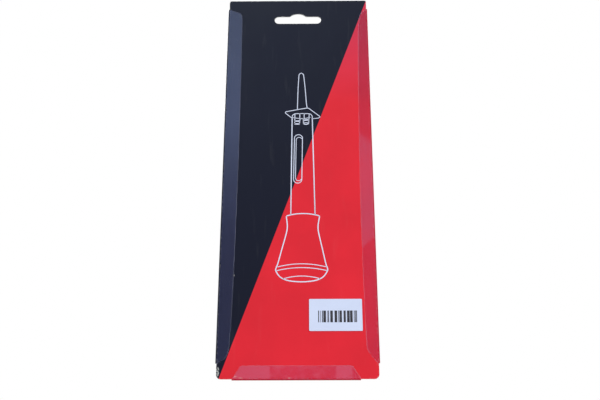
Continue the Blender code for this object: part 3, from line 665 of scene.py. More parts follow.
DRAWING = [
    # width, smooth or straight, points
    (LINE, True, [(-0.3, -74.6)] + whole(SPOUT_SIDE) + [(6.5, -73.3)]),
    (LINE, False, [(-4.2, -81.3), (-8.5, -77.5), (-8.7, -76.9), (-8.3, -76.3), (-0.4, -74.7), (6.6, -73.4),
                   (7.6, -73.7), (15.1, -80.0), (15.4, -80.6), (14.2, -81.5), (10.0, -81.9)]),
    (MIDDLE_LINE, True, whole(MOUTH_SIDE)),
    (LINE, False, [(1.4, -77.6), (1.4, -81.4)]),
    (LINE, False, [(4.4, -77.6), (4.4, -81.4)]),
    (FINE_LINE, True, [(-3.4, -80.9), (-1.0, -81.4), (3.0, -81.8), (6.0, -81.5), (8.6, -80.8)]),
    (LINE, False, [(-2.0, -78.2), (-2.2, -86.3)]),
    (LINE, False, [(1.6, -81.6), (1.1, -86.3)]),
    (TAB_BAR, False, [(-2.45, -86.0), (1.35, -86.0)]),
    (TAB_BAR, False, [(-2.3, -83.8), (1.4, -83.7)]),
    (LINE, False, [(3.7, -81.6), (3.9, -85.7)]),
    (LINE, False, [(7.9, -78.2), (7.5, -85.6)]),
    (BOLD_LINE, True, [(3.7, -85.5), (4.6, -86.1), (5.7, -86.3), (6.8, -86.0), (7.6, -85.4)]),
    (FINE_LINE, True, [(3.9, -85.3), (5.7, -84.9), (7.5, -85.1)]),
    (TAB_BAR, True, [(3.7, -83.2), (5.7, -82.9), (7.8, -82.9)]),
]
print("lines of the upper half:", len(DRAWING))

# %% Lines of the barrel, float and bulb
BARREL_SIDE = [(6.95, -81.3), (8.0, -153.9)]
BULB_SIDE = [(10.8, -154.9), (10.85, -156.0), (10.5, -158.2), (10.1, -161.7), (10.2, -165.0), (11.2, -170.0),
             (13.3, -178.9), (15.4, -188.0), (16.4, -190.9), (16.7, -192.4), (16.4, -193.5), (15.0, -195.9),
             (13.5, -197.5), (11.7, -198.6), (9.1, -199.6), (5.2, -200.3), (0, -200.6)]

DRAWING += [(BOLD_LINE, False, one_side(BARREL_SIDE, side)) for side in (-1, 1)]
DRAWING += [
    (LINE, False, pill((0.45, -97.1), (-0.05, -128.3), 2.75, 0)),
    (FINE_LINE, False, pill((0.95, -98.5), (0.5, -127.2), 2.05, 20)),
    (BOLD_LINE, True, arch(10.8, -154.9, 1.7)),
    (BOLD_LINE, True, whole(BULB_SIDE)),
    (LINE, True, arch(15.6, -190.5, 2.1)),
    (LINE, True, arch(16.4, -193.1, 2.1)),
    (LINE, True, arch(11.7, -198.5, 1.8)),
]
print("lines in all:", len(DRAWING))

# %% Draw the lines
CURVE_STEPS = 6
INK_LIFT = 0.00003
INK_FILM = 0.00002
INK = (0.77, 0.82, 1.0)


def smooth_line(points):
    """A smooth curve through the points."""
    closed = points[0] == points[-1]
    first = points[-2] if closed else points[0]
    last = points[1] if closed else points[-1]
    ends = [first] + list(points) + [last]
    line = []
    for corners in zip(ends, ends[1:], ends[2:], ends[3:]):
        for t in even_steps(CURVE_STEPS)[:-1]:
            shares = ((-t + 2 * t**2 - t**3) / 2, (2 - 5 * t**2 + 3 * t**3) / 2,
                      (t + 4 * t**2 - 3 * t**3) / 2, (t**3 - t**2) / 2)
            line.append(tuple(sum(s * p[k] for s, p in zip(shares, corners)) for k in (0, 1)))
    return line + [points[-1]]


def add_strip(work, line, width, y):
    """Adds a flat strip of that width along a line of (x, z) points."""
    closed = line[0] == line[-1]
    rows = []
    for i, point in enumerate(line):
        before = line[i - 1] if i else line[-2 if closed else 0]
        after = line[i + 1] if i < len(line) - 1 else line[1 if closed else -1]
        along = (Vector(after) - Vector(before)).normalized()
        across = Vector((-along.y, along.x)) * width / 2
        rows.append([work.verts.new((point[0] + s * across.x, y, point[1] + s * across.y)) for s in (-1, 1)])
    for (a, b), (c, d) in zip(rows, rows[1:]):
        work.faces.new((a, c, d, b))


def printed(name, work, finish):
    """Turns flat strips into a thin film of ink that rides on the card."""
    piece = new_piece(name, work, [finish], "card")
    thicken(piece, INK_FILM)
    print(name, "has", len(piece.data.polygons), "strips of ink")


strips = bmesh.new()
for width, smooth, points in DRAWING:
    line = [(x * MM, z * MM) for x, z in (smooth_line(points) if smooth else points)]
    add_strip(strips, line, width * MM, -INK_LIFT)
ink_finish = solid_finish("pale_ink", INK, rough=(0.40, 0.52), blobs=(2400.0, 0.00001), shade=0.06)
printed("printed_outline", strips, ink_finish)

# %% [markdown]
# ## The sticker
# A paper sticker with a bar code sits low on the right. The measured piece has its true size and thickness,
# so only its paper and its bars are new. The bars are generic: their widths are drawn from a fixed list of
# random numbers and stand for nothing. The places above and below them stay blank.

# %% Sticker paper and bars
# the paper's colour carries a painted blue cast of the light
PAPER_IN_BLUE_LIGHT = (0.675, 0.745, 0.955)
BAR_INK = (0.018, 0.018, 0.028)
BAR_LEFT, BAR_RIGHT = 0.0129, 0.0373
BAR_TOP, BAR_FOOT = -0.2198, -0.2274
BAR_UNIT = 0.00027
BAR_SEED = 20
BAR_WIDTHS = (1, 2, 5, 6)
BAR_GAPS = (1, 3, 4)

label_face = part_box("barcode_label")[0].y
paper = solid_finish("label_paper", PAPER_IN_BLUE_LIGHT, rough=(0.42, 0.55), blobs=(1500.0, 0.00002), shade=0.02)
dress("barcode_label", paper)
draws = random.Random(BAR_SEED)
strips = bmesh.new()
x = BAR_LEFT
while x < BAR_RIGHT:
    width = BAR_UNIT * draws.choice(BAR_WIDTHS)
    middle = x + width / 2
    if x + width < BAR_RIGHT:
        add_strip(strips, [(middle, BAR_TOP), (middle, BAR_FOOT)], width, label_face - INK_LIFT)
    x += width + BAR_UNIT * draws.choice(BAR_GAPS)
bar_finish = solid_finish("bar_ink", BAR_INK, rough=(0.45, 0.6), blobs=(2400.0, 0.00001))
printed("label_bars", strips, bar_finish)

# %% [markdown]
# ## The clear formed sheet
# One sheet is heated, drawn over a mould and trimmed. Its pocket follows the tester: narrow round the spout,
# square at the flange, round along the barrel with two shallow saddles that grip it, and flaring with the
# bulb. Box modelling would make that one bump at a time. Here a table lists the cross-section at each height
# instead, and the rows between blend from one to the next, which is how a mould maker lofts the tool.

# %% Bulb curve
BULB_WAIST_RADIUS = 0.0133
BULB_BELLY_RADIUS = 0.0220
BULB_RIM_RADIUS = 0.0146
BAND_PROUD = 0.0006
# share of the bulb's height, share of the way from its waist's radius to its belly's
BULB_FLARE = ((0.15, 1.0), (0.185, 0.86), (0.26, 0.745), (0.36, 0.585), (0.46, 0.425), (0.56, 0.270),
              (0.65, 0.135), (0.73, 0.045), (0.80, 0.0), (0.86, 0.0), (1.0, 0.149))

bulb_height = bulb_high.z - bulb_low.z


def curve_at(table, place):
    """A smooth value between the rows of a table of (place, value)."""
    last = len(table) - 2
    i = next((k for k in range(last + 1) if place <= table[k + 1][0]), last)
    (a, first), (b, second) = table[i], table[i + 1]
    t = min(max((place - a) / (b - a), 0.0), 1.0)
    before = table[max(i - 1, 0)]
    after = table[min(i + 2, last + 1)]
    start = (second - before[1]) / (b - before[0]) * (b - a)
    end = (after[1] - first) / (after[0] - a) * (b - a)
    smooth = (2 * t**3 - 3 * t**2 + 1) * first + (3 * t**2 - 2 * t**3) * second
    return smooth + (t**3 - 2 * t**2 + t) * start + (t**3 - t**2) * end


def bulb_radius(height):
    """Outer radius of the bulb at a height above its foot."""
    share = curve_at(BULB_FLARE, min(max(height / bulb_height, BULB_FLARE[0][0]), 1.0))
    return BULB_WAIST_RADIUS + (BULB_BELLY_RADIUS - BULB_WAIST_RADIUS) * share


print("bulb is", in_mm(bulb_height), "mm high")

# %% Cross-sections of the pocket
SHEET = 0.0004
GAP = 0.0003
POCKET_PLAY = 0.0009
BULB_PLAY = 0.0005
NOZZLE_PLAY = 0.0015
FILLET = 0.0018
STEP = 0.003
FLANGE_CORNER = 0.0035
# shares of the way down the barrel
SADDLES = (0.26, 0.66)
SADDLE_LENGTH = 0.004
SADDLE_SLOPE = 0.0016
ROUND_SHARE = 0.90
POCKET_TOP = -0.0146
TESTER_LIFT = 0.0265
END_DRAFT = 0.00082
FLARE_ROWS = 26

nozzle_low, nozzle_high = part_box("nozzle")
barrel_low, barrel_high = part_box("barrel")
half_sheet = SHEET / 2
front_y = card_high.y + GAP + half_sheet
back_y = card_low.y - GAP - half_sheet
nozzle_half = nozzle_high.x + NOZZLE_PLAY + half_sheet
flange_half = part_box("flange_plug")[1].x + POCKET_PLAY + half_sheet
barrel_half = barrel_high.x + POCKET_PLAY + half_sheet
saddle_half = barrel_high.x + GAP + half_sheet
neck_half = BULB_RIM_RADIUS + BULB_PLAY + half_sheet
belly_half = max(BULB_BELLY_RADIUS + BAND_PROUD, bulb_high.x) + BULB_PLAY + half_sheet
flange_top = nozzle_low.z - GAP + TESTER_LIFT + NOZZLE_PLAY
flange_under = barrel_high.z + GAP - NOZZLE_PLAY
neck_top = bulb_high.z + NOZZLE_PLAY
pocket_foot = bulb_low.z - GAP - half_sheet - END_DRAFT - FILLET


def round_row(height, half):
    """A row of the table where the pocket is round."""
    return (height, half, half * ROUND_SHARE)


# height, half width, radius of the crown's corners
stations = [
    round_row(POCKET_TOP, nozzle_half),
    round_row(flange_top + STEP, nozzle_half),
    (flange_top, flange_half, FLANGE_CORNER),
    (flange_under, flange_half, FLANGE_CORNER),
    round_row(flange_under - STEP, barrel_half),
]
for share in SADDLES:
    middle = barrel_high.z - share * (barrel_high.z - bulb_high.z)
    for side, half in ((1, barrel_half), (1, saddle_half), (-1, saddle_half), (-1, barrel_half)):
        reach = SADDLE_LENGTH / 2 + (SADDLE_SLOPE if half == barrel_half else 0.0)
        stations.append(round_row(middle + side * reach, half))
stations += [round_row(neck_top + STEP, barrel_half), round_row(neck_top, neck_half)]
for way in even_steps(FLARE_ROWS):
    height = bulb_height * blend(1.0, BULB_FLARE[0][0], way)
    half = max(neck_half, min(belly_half, bulb_radius(height) + BAND_PROUD + BULB_PLAY + half_sheet))
    stations.append(round_row(bulb_low.z + height, half))
stations.append(round_row(pocket_foot, belly_half))
print("pocket runs from", in_mm(POCKET_TOP), "to", in_mm(pocket_foot), "mm")

# %% Rise of the pocket's end walls
END_STEPS = 5
WALL_STEPS = 7
FOOT_RISE = 0.05
CROWN_RISE = 0.93
FOOT_RUN = FILLET * 2 / 3


def quarter_turn(steps):
    """Angles of a quarter turn."""
    return [math.radians(90 * way) for way in even_steps(steps)]


def end_rows(start, inward):
    """Heights and rises of an end wall: a fillet off the sheet, a steep wall and a round into the crown."""
    foot = start + inward * FOOT_RUN
    shoulder = start + inward * (FILLET + END_DRAFT)
    turns = quarter_turn(END_STEPS)
    ways = even_steps(WALL_STEPS)[1:-1]
    rows = [(start + inward * FOOT_RUN * math.sin(turn), FOOT_RISE * (1 - math.cos(turn))) for turn in turns]
    rows += [(blend(foot, shoulder, way), blend(FOOT_RISE, CROWN_RISE, way)) for way in ways]
    return rows + [(shoulder + inward * FILLET * (1 - math.cos(turn)), blend(CROWN_RISE, 1, math.sin(turn)))
                   for turn in turns]


rises = end_rows(POCKET_TOP, -1) + end_rows(pocket_foot, 1)[::-1]
print("rows in each end wall:", len(rises) // 2)

# %% [markdown]
# The sheet's left, right and bottom margins are folded round the card's edges and held there by their own
# spring. Their free edges are cut on a slant near the corners, and cutting rounds those slants a little.
# Each fold's edge is a short table as well: how far down the card, and how far out from its middle.

# %% Folds
# share of the way down the card, and share of its width out from its middle
LEFT_FOLD = ((0.0285, 0.494), (0.0325, 0.470), (0.0360, 0.442), (0.0400, 0.418), (0.0480, 0.405),
             (0.0610, 0.402), (0.3700, 0.399), (0.6400, 0.404), (0.9316, 0.418), (0.9500, 0.440),
             (0.9545, 0.449), (0.9560, 0.455), (0.9655, 0.494))
RIGHT_FOLD = ((0.0310, 0.494), (0.0340, 0.478), (0.0400, 0.458), (0.0496, 0.446), (0.1000, 0.432),
              (0.3700, 0.418), (0.6400, 0.413), (0.9246, 0.424), (0.9403, 0.434), (0.9668, 0.494))
# share of the bottom fold's height, share of its width at the bend
BOTTOM_FOLD = ((0.3, 0.961), (0.6, 0.922), (0.8, 0.897), (0.90, 0.883), (0.957, 0.871), (1.0, 0.850))
BOTTOM_FOLD_BASE = (0.0403, 0.0387)
BOTTOM_FOLD_HEIGHT = 0.0083
HEADER_LIP = 0.0006
BRIGHT_EDGE = 0.0004
FOLD_STEPS = 5
CORNER_CUTS = (0.25, 0.75)
FOLD_WAVE = 0.00016
# share of the waviness, radians in a metre, shift between the sides
WAVES = ((1.0, 61.0, 1.0), (0.6, 143.0, 2.0))
# share of the free edge's lean at the bright edge's end and halfway to the bend
RIM_LEAN, HALFWAY_LEAN = 0.97, 0.4

card_width = card_high.x - card_low.x
card_height = card_high.z - card_low.z
fold_radius = GAP + half_sheet


def cut_corners(points):
    """Cuts every corner of a line of points once."""
    line = [points[0]]
    for first, second in zip(points, points[1:]):
        for way in CORNER_CUTS:
            line.append(tuple(blend(a, b, way) for a, b in zip(first, second)))
    return line + [points[-1]]


def fold_edge(shares):
    """Heights of a side fold's free edge with its distance from the middle, rounded at its corners."""
    line = [(card_high.z - down * card_height, out * card_width) for down, out in shares]
    return cut_corners(cut_corners(line))


left_edge = fold_edge(LEFT_FOLD)
right_edge = fold_edge(RIGHT_FOLD)


def fold_wave(side, height):
    """How far a fold's free edge leans towards the card at a height."""
    swing = sum(share * math.sin(height * rate + shift * side) for share, rate, shift in WAVES)
    return FOLD_WAVE * (1 + swing / sum(share for share, _, _ in WAVES)) / 2


def fold_line(side, inner, height):
    """(x, y) points from a side fold's free edge round the card's edge to the front sheet."""
    edge = card_width / 2
    lean = fold_wave(side, height)
    line = [(inner, back_y + lean), (inner + BRIGHT_EDGE, back_y + lean * RIM_LEAN)]
    line.append(((inner + edge) / 2, back_y + lean * HALFWAY_LEAN))
    line += arc((edge, 0), fold_radius, -90, 0, FOLD_STEPS)
    return line + arc((edge, card_high.y), fold_radius, 0, 90, FOLD_STEPS)


for name, table in (("left", left_edge), ("right", right_edge)):
    print(name, "fold is", in_mm(card_width / 2 - between(table, bulb_high.z)[0]), "mm wide at the bulb")

# %% [markdown]
# Rows of points run across the sheet, closest together where its shape changes fastest. Each row starts on
# the left fold's free edge, goes round the card's edge, over the flat sheet and the pocket, and back to the
# right fold. Faces between the rows then make one surface, and its last row carries the bottom fold.

# %% Rows and columns of the sheet
ROW_SPACING = 0.0025
ROW_LEAST = 0.00008
CROWN_STEPS = 10
FILLET_STEPS = 4
WALL_POINTS = (0.33, 0.67)
DRAFT_SHARE = 0.03


def pocket_line(height):
    """(x, y) points of half the pocket from the flat sheet to the crown's flat."""
    half, radius = between(stations, height, eased=height > bulb_high.z)
    inside = POCKET_TOP > height > pocket_foot
    rise = between(rises, height)[0] if inside else 0.0
    crown_y = axis_y + half
    foot = half + DRAFT_SHARE * (crown_y - front_y)
    line = [(foot + FILLET * (1 - math.sin(turn)), front_y + FILLET * (1 - math.cos(turn)))
            for turn in quarter_turn(FILLET_STEPS)]
    side_y = crown_y - radius
    line += [(blend(foot, half, way), blend(front_y + FILLET, side_y, way)) for way in WALL_POINTS]
    line += arc((half - radius, side_y), radius, 0, 90, CROWN_STEPS)
    return [(x, front_y + (y - front_y) * rise) for x, y in line]


def sheet_heights():
    """Heights of all rows from the top edge to the bottom edge of the card."""
    top = card_high.z + HEADER_LIP
    fixed = [row[0] for row in stations + rises + left_edge + right_edge]
    kept = []
    for height in sorted({*fixed, top, top - BRIGHT_EDGE, card_low.z}, reverse=True):
        if kept and kept[-1] - height < ROW_LEAST:
            continue
        while kept and kept[-1] - height > ROW_SPACING:
            kept.append(kept[-1] - ROW_SPACING)
        kept.append(height)
    return kept


heights = sheet_heights()
print("rows of the sheet:", len(heights))

# %% Build the sheet
CLEAR, FOLDED, EDGE = 0, 1, 2


def sheet_surface():
    """The sheet's middle surface with a finish for each face, its last row and the points in a side fold."""
    work = bmesh.new()
    rows = []
    for height in heights:
        folded = left_edge[-1][0] <= height <= left_edge[0][0]
        row = []
        for side, base, table in ((-1, BOTTOM_FOLD_BASE[0], left_edge), (1, BOTTOM_FOLD_BASE[1], right_edge)):
            wrap = fold_line(side, between(table, height)[0], height)
            line = wrap + [(base, front_y), (base - BRIGHT_EDGE, front_y)] + pocket_line(height)
            points = [(side * x, y, height) for x, y in line]
            keep = 0 if folded else len(wrap) - 1
            made = [None] * keep + [work.verts.new(point) for point in points[keep:]]
            row += made if side < 0 else made[::-1]
        rows.append(row)
    for high, low in zip(rows, rows[1:]):
        last = len(high) - 2
        for i, corners in enumerate(zip(high, high[1:], low[1:], low)):
            if None in corners:
                continue
            face = work.faces.new(corners)
            behind = max(corner.co.y for corner in corners) < card_low.y
            rim = high is rows[0] or (behind and i in (0, last))
            face.material_index = EDGE if rim else FOLDED if behind else CLEAR
    return work, rows[-1], len(wrap)


def add_bottom_fold(work, row, first):
    """Carries the middle of the last row round the card's bottom edge and up its printed face."""
    columns = row[first:len(row) - first]
    path = arc((card_high.y, card_low.z), fold_radius, 0, -90, FOLD_STEPS)[1:]
    path += arc((0, card_low.z), fold_radius, -90, -180, FOLD_STEPS)
    places = [(y, height, 1.0) for y, height in path]
    places += [(back_y, card_low.z + up * BOTTOM_FOLD_HEIGHT, share) for up, share in BOTTOM_FOLD]
    last = len(columns) - 2
    before = columns
    for y, height, share in places:
        line = [work.verts.new((vert.co.x * share, y, height)) for vert in columns]
        for i, corners in enumerate(zip(before, before[1:], line[1:], line)):
            face = work.faces.new(corners)
            rim = height == places[-1][1] or (i in (0, last) and y <= back_y)
            face.material_index = EDGE if rim else FOLDED if y < card_high.y / 2 else CLEAR
        before = line


sheet_work, last_row, wrap_count = sheet_surface()
add_bottom_fold(sheet_work, last_row, wrap_count)
print("faces in the sheet:", len(sheet_work.faces))

# %% [markdown]
# The sheet's finish changes over it. The pocket is clear, with light scratches. The folds have been bent and
# handled, so they are hazy, and they mirror the room over the dark card. Their haze colour carries painted
# light: a paler sheen near the top on the left, a pink reflection and a darker top on the right, pale
# reflections and glints on the bottom fold, and at the bends the card's colour as the bend would show it.
# The cut edges look bright, because light that travels inside the sheet leaves it there.

# %% Sheet finishes
POCKET_TINT = (0.55, 0.60, 0.68)
EDGE_TINT = (0.34, 0.35, 0.50)
# colour of the painted glints
PAINTED_GLINT_TINT = (0.80, 0.62, 0.64)
LEFT_LOW = (0.088, 0.095, 0.210)
# painted sheen near the top of the left fold
LEFT_SHEEN = (0.25, 0.31, 0.555)
LEFT_TOP_SHEEN = (0.215, 0.27, 0.48)
RIGHT_LOW = (0.13, 0.042, 0.118)
# painted pink reflection on the right fold
RIGHT_PINK_REFLECTION = (0.05, 0.165, 0.32)
# painted shade at the top of the right fold
RIGHT_TOP_SHADE = (0.12, 0.022, 0.055)
BOTTOM_LOW = (0.21, 0.085, 0.20)
# painted pale reflections on the bottom fold
BOTTOM_PALE_REFLECTION = (0.33, 0.25, 0.45)
# painted colour that stands for the card's edge seen through the bends: dark on the left, red on the right
PAINTED_BEND_DARK = (0.008, 0.010, 0.025)
PAINTED_BEND_RED = (0.48, 0.014, 0.040)
# heights between which a tint of the side folds changes into the next: painted sheen on the left, painted
# shade at the top on the right
LEFT_SHEEN_SPAN = (-0.180, -0.080)
LEFT_TOP_SHEEN_SPAN = (-0.045, 0.010)
RIGHT_TOP_SHADE_SPAN = (-0.100, -0.020)
SHEEN_CURVE = 1.5
# blobs in a metre, detail
BLOTCHES, BLOTCH_SHIFT = (55.0, 1.0), 0.01
# the ends of the painted pink reflection on the right fold: the slant, and the heights that it runs between
# at the card's middle
PINK_REFLECTION_ENDS = ((-0.93, (-0.2177, -0.2147)), (0.8, (-0.058, -0.063)))
# x from and to, blur: the bottom fold, and its painted pale reflections
BOTTOM_SPAN = (-0.0405, 0.0405, 0.0001)
BOTTOM_REFLECTION_SPANS = ((-0.060, -0.017, 0.0003), (0.0235, 0.0335, 0.0006))
BOTTOM_FOLD_TOP = -0.2535
# blobs in a metre and detail, and the noise's range with that of the mask it becomes
STREAKS, STREAK_SPAN = (210.0, 3.0), (0.48, 0.66, 0.0, 0.7)
# painted glints on the bottom fold: x, z, reach along x and along z, in millimetres
PAINTED_GLINTS = ((-38.3, -261.6, 1.3, 0.4), (-34.8, -262.4, 1.3, 0.3), (-5.3, -262.5, 0.8, 0.3))
PAINTED_GLINT_OPACITY = 0.10


def within(tree, value, start, stop, blur):
    """A mask that is 1 between two values."""
    rise = ranged(tree, value, start - blur, start + blur)
    return times(tree, rise, ranged(tree, value, stop + blur, stop - blur))


def fold_tint(tree, where, split):
    """Haze colour over the folds with painted light: sheen at the top left, a pink reflection and a darker
    top on the right, and pale reflections on the bottom fold.
    """
    shifted = plus(tree, split["Z"], times(tree, noise(tree, where, *BLOTCHES), BLOTCH_SHIFT))
    # the left fold is paler near its top with a painted sheen
    pale = worked(tree, "POWER", ranged(tree, shifted, *LEFT_SHEEN_SPAN), SHEEN_CURVE)
    left_tint = mixed(tree, pale, LEFT_LOW, LEFT_SHEEN)
    left_tint = mixed(tree, ranged(tree, shifted, *LEFT_TOP_SHEEN_SPAN), left_tint, LEFT_TOP_SHEEN)
    # the right fold is darker near its top with painted shade
    right_tint = mixed(tree, ranged(tree, shifted, *RIGHT_TOP_SHADE_SPAN), RIGHT_LOW, RIGHT_TOP_SHADE)
    # a painted pink reflection along the middle of the right fold
    slants = [(plus(tree, split["Z"], times(tree, split["X"], slant)), span) for slant, span in PINK_REFLECTION_ENDS]
    pink = times(tree, *(ranged(tree, height, *span) for height, span in slants))
    right_tint = mixed(tree, pink, right_tint, RIGHT_PINK_REFLECTION)
    side_tint = mixed(tree, worked(tree, "GREATER_THAN", split["X"], 0.0), left_tint, right_tint)
    streaks = ranged(tree, noise(tree, where, *STREAKS), *STREAK_SPAN)
    # painted pale reflections and pale streaks on the bottom fold
    pale = highest(tree, *(within(tree, split["X"], *span) for span in BOTTOM_REFLECTION_SPANS), streaks)
    low_down = worked(tree, "LESS_THAN", split["Z"], BOTTOM_FOLD_TOP)
    on_bottom = times(tree, low_down, within(tree, split["X"], *BOTTOM_SPAN))
    return mixed(tree, on_bottom, side_tint, mixed(tree, pale, BOTTOM_LOW, BOTTOM_PALE_REFLECTION))

# %% Bends and scuffs of the folds
# the bends begin this far from the middle, and at the bottom this far above the card's edge
BEND_START = 0.0499
BEND_HEIGHT = 0.0001
# opacity of the painted bend colour
PAINTED_BEND_OPACITY = 0.85
BEND_RED_START = -0.045
# heights that the left fold is scuffed between, and blur
SCUFF_SPAN = (-0.205, -0.135, 0.02)
# blobs in a metre and detail, range of the noise, and haze
SCUFFS, SCUFF_RIM, SCUFF_HAZE = (330.0, 3.0), (0.52, 0.66), 0.045
# heights between which the right fold grows more opaque under its painted shade at the top
RIGHT_SHADE_ALPHA_SPAN, RIGHT_SHADE_ALPHA = (-0.100, -0.010), 0.10


def fold_look(tree, shader):
    """Colours the folds' haze with painted light, and adds the painted colour of their bends, painted glints
    and scuffs.
    """
    where = place_on(tree)
    split = put(tree, "ShaderNodeSeparateXYZ", {0: where}).outputs
    # painted glints, whitish spots on the bottom fold
    glint = spots(tree, split, PAINTED_GLINTS, noise(tree, where, CRUMBS, detail=2.0))
    out = worked(tree, "ABSOLUTE", split["X"], 0.0)
    # the bends are painted with the card's colour that they would show by refraction
    bend = highest(tree, worked(tree, "GREATER_THAN", out, BEND_START),
                   worked(tree, "LESS_THAN", split["Z"], card_low.z + BEND_HEIGHT))
    over_red = worked(tree, "GREATER_THAN", split["X"], BEND_RED_START)
    tone = mixed(tree, glint, fold_tint(tree, where, split), PAINTED_GLINT_TINT)
    tone = mixed(tree, bend, tone, mixed(tree, over_red, PAINTED_BEND_DARK, PAINTED_BEND_RED))
    fill(tree, shader, {"Base Color": tone})
    mottled = ranged(tree, noise(tree, where, *SCUFFS), *SCUFF_RIM)
    on_left = worked(tree, "LESS_THAN", split["X"], 0.0)
    on_right = worked(tree, "GREATER_THAN", split["X"], 0.0)
    scuffs = times(tree, mottled, within(tree, split["Z"], *SCUFF_SPAN), on_left, SCUFF_HAZE)
    # more opacity for the painted shade at the top of the right fold
    head = times(tree, ranged(tree, split["Z"], *RIGHT_SHADE_ALPHA_SPAN), on_right, RIGHT_SHADE_ALPHA)
    painted_bend = times(tree, bend, PAINTED_BEND_OPACITY)
    return highest(tree, plus(tree, scuffs, head), painted_bend, times(tree, glint, PAINTED_GLINT_OPACITY))


sheet_finish = clear_finish("clear_sheet", POCKET_TINT, haze=(0.008, 0.024), rough=0.06, scuffs=0.03)
folded_finish = clear_finish("folded_sheet", RIGHT_LOW, haze=(0.115, 0.125), rough=0.06, scuffs=0.02,
                             extra_haze=fold_look)
edge_finish = clear_finish("sheet_edge", EDGE_TINT, haze=(0.06, 0.16), rough=0.12, scuffs=0.05, along=0.15)
print("sheet finishes:", sheet_finish.name, folded_finish.name, edge_finish.name)

# %% [markdown]
# So far the sheet is a surface without thickness, as a sheet is easiest to shape. A Solidify modifier gives
# it its 0.4 mm, half to each side. Settling puts the result into the mesh, with all faces looking outwards,
# because the Boolean that cuts the slot needs a proper solid.

# %% Thickness of the sheet
def settle(piece):
    """Puts a piece's modifiers into its mesh, with all faces looking outwards."""
    settled = bpy.data.meshes.new_from_object(piece.evaluated_get(bpy.context.evaluated_depsgraph_get()))
    work = bmesh.new()
    work.from_mesh(settled)
    bmesh.ops.recalc_face_normals(work, faces=work.faces)
    work.to_mesh(settled)
    work.free()
    piece.modifiers.clear()
    piece.data = settled


sheet_finishes = [sheet_finish, folded_finish, edge_finish]
shell = new_piece("formed_sheet", sheet_work, sheet_finishes, "pack", "blister_shell")
thicken(shell, SHEET)
settle(shell)
lets_light_in(shell)
print("sheet of", in_mm(SHEET), "mm with", len(shell.data.polygons), "faces")

# %% [markdown]
# The hang slot goes through the card and the sheet. A solid of the slot's outline is made for a moment, taken
# out of the sheet with a Boolean, and deleted, so that the sheet has the same hole as the card behind it.

# %% Cut the hang slot
SLOT_WIDTH = 0.0338
SLOT_HEIGHT = 0.0061
SLOT_BUMP_WIDTH = 0.0118
SLOT_BUMP_RISE = 0.0024
SLOT_ARC = 12
SLOT_REACH = 0.006


def slot_outline():
    """A bar with round ends and a low arch in the middle of its top, as (x, z)."""
    half, rise, foot = SLOT_WIDTH / 2, SLOT_HEIGHT / 2, SLOT_BUMP_WIDTH / 2
    radius = (foot**2 + SLOT_BUMP_RISE**2) / (2 * SLOT_BUMP_RISE)
    lean = math.degrees(math.asin(foot / radius))
    line = arc((half - rise, 0), rise, -90, 90, SLOT_ARC)
    line += arc((0, rise + SLOT_BUMP_RISE - radius), radius, 90 - lean, 90 + lean, SLOT_ARC)
    return line + arc((rise - half, 0), rise, 90, 270, SLOT_ARC)


punch_work = bmesh.new()
face = punch_work.faces.new([punch_work.verts.new((x, -SLOT_REACH, z)) for x, z in slot_outline()])
pushed = bmesh.ops.extrude_face_region(punch_work, geom=[face])["geom"]
moved = [item for item in pushed if isinstance(item, bmesh.types.BMVert)]
bmesh.ops.translate(punch_work, vec=(0, 2 * SLOT_REACH, 0), verts=moved)
bmesh.ops.recalc_face_normals(punch_work, faces=punch_work.faces)
punch = add_mesh("slot_punch", punch_work)
cut = shell.modifiers.new("slot", "BOOLEAN")
cut.object = punch
cut.solver = "EXACT"
settle(shell)
bpy.data.objects.remove(punch, do_unlink=True)
print("sheet with its slot has", len(shell.data.polygons), "faces")

# %% [markdown]
# ## The rubber bulb
# The bulb is moulded in soft black rubber. It flares from a waist to a wide belly with a raised band, and its
# flat base has a shallow dish, so that it stands. Sculpting would do for the outside, but the bulb is hollow
# and grips the barrel's end on an inner ledge, so it is turned from one closed outline, outside and in.

# %% Bulb outline
BULB_WALL = 0.0022
BULB_FLOOR = 0.0032
BULB_DISH = 0.0008
BULB_FOOT_RADIUS = 0.0155
# shares of the foot's radius where the dish is flat and where it ends
DISH_SHARES = (0.80, 0.88)
BELLY_SHARE = 0.105
BAND_SHARE = 0.15
RIM_SHARE = 0.955
RIM_CURVE = 0.3
LEDGE_WIDTH = 0.0018
LEDGE_HEIGHT = 0.0025
NECK_DEPTH = 0.0145
TURN_POINTS = 12
TURN_CROWDING = 1.6
FLARE_POINTS = 28
CHAMBER_POINTS = 15
FLOOR_ROUND = 0.0007
# share of the bulb's height, share of the way from its foot's radius to its belly's
BELLY_TURN = ((0.0, 0.0), (0.012, 0.30), (0.035, 0.62), (0.065, 0.87), (BELLY_SHARE, 1.0))
# how far a point of the band lies under its face, and how far above its lower or upper edge
BAND_FOOT = ((0.0001, 0.0003), (0.0, 0.0007))
BAND_HEAD = ((0.0, -0.0008), (0.0001, -0.0004))

belly = BELLY_SHARE * bulb_height
band = BAND_SHARE * bulb_height
proud = BULB_BELLY_RADIUS + BAND_PROUD
outside = [(0, BULB_DISH), (BULB_FOOT_RADIUS * DISH_SHARES[0], BULB_DISH),
           (BULB_FOOT_RADIUS * DISH_SHARES[1], 0), (BULB_FOOT_RADIUS, 0)]
for way in even_steps(TURN_POINTS)[1:]:
    share = BELLY_SHARE * way**TURN_CROWDING
    radius = blend(BULB_FOOT_RADIUS, BULB_BELLY_RADIUS, min(curve_at(BELLY_TURN, share), 1.0))
    outside.append((radius, share * bulb_height))
for edge, rows in ((belly, BAND_FOOT), (band, BAND_HEAD)):
    outside += [(proud - under, edge + up) for under, up in rows]
outside.append((BULB_BELLY_RADIUS, band))
for way in even_steps(FLARE_POINTS)[1:-1]:
    height = blend(band, RIM_SHARE * bulb_height, way)
    outside.append((bulb_radius(height), height))
outside.append((BULB_RIM_RADIUS, RIM_SHARE * bulb_height))
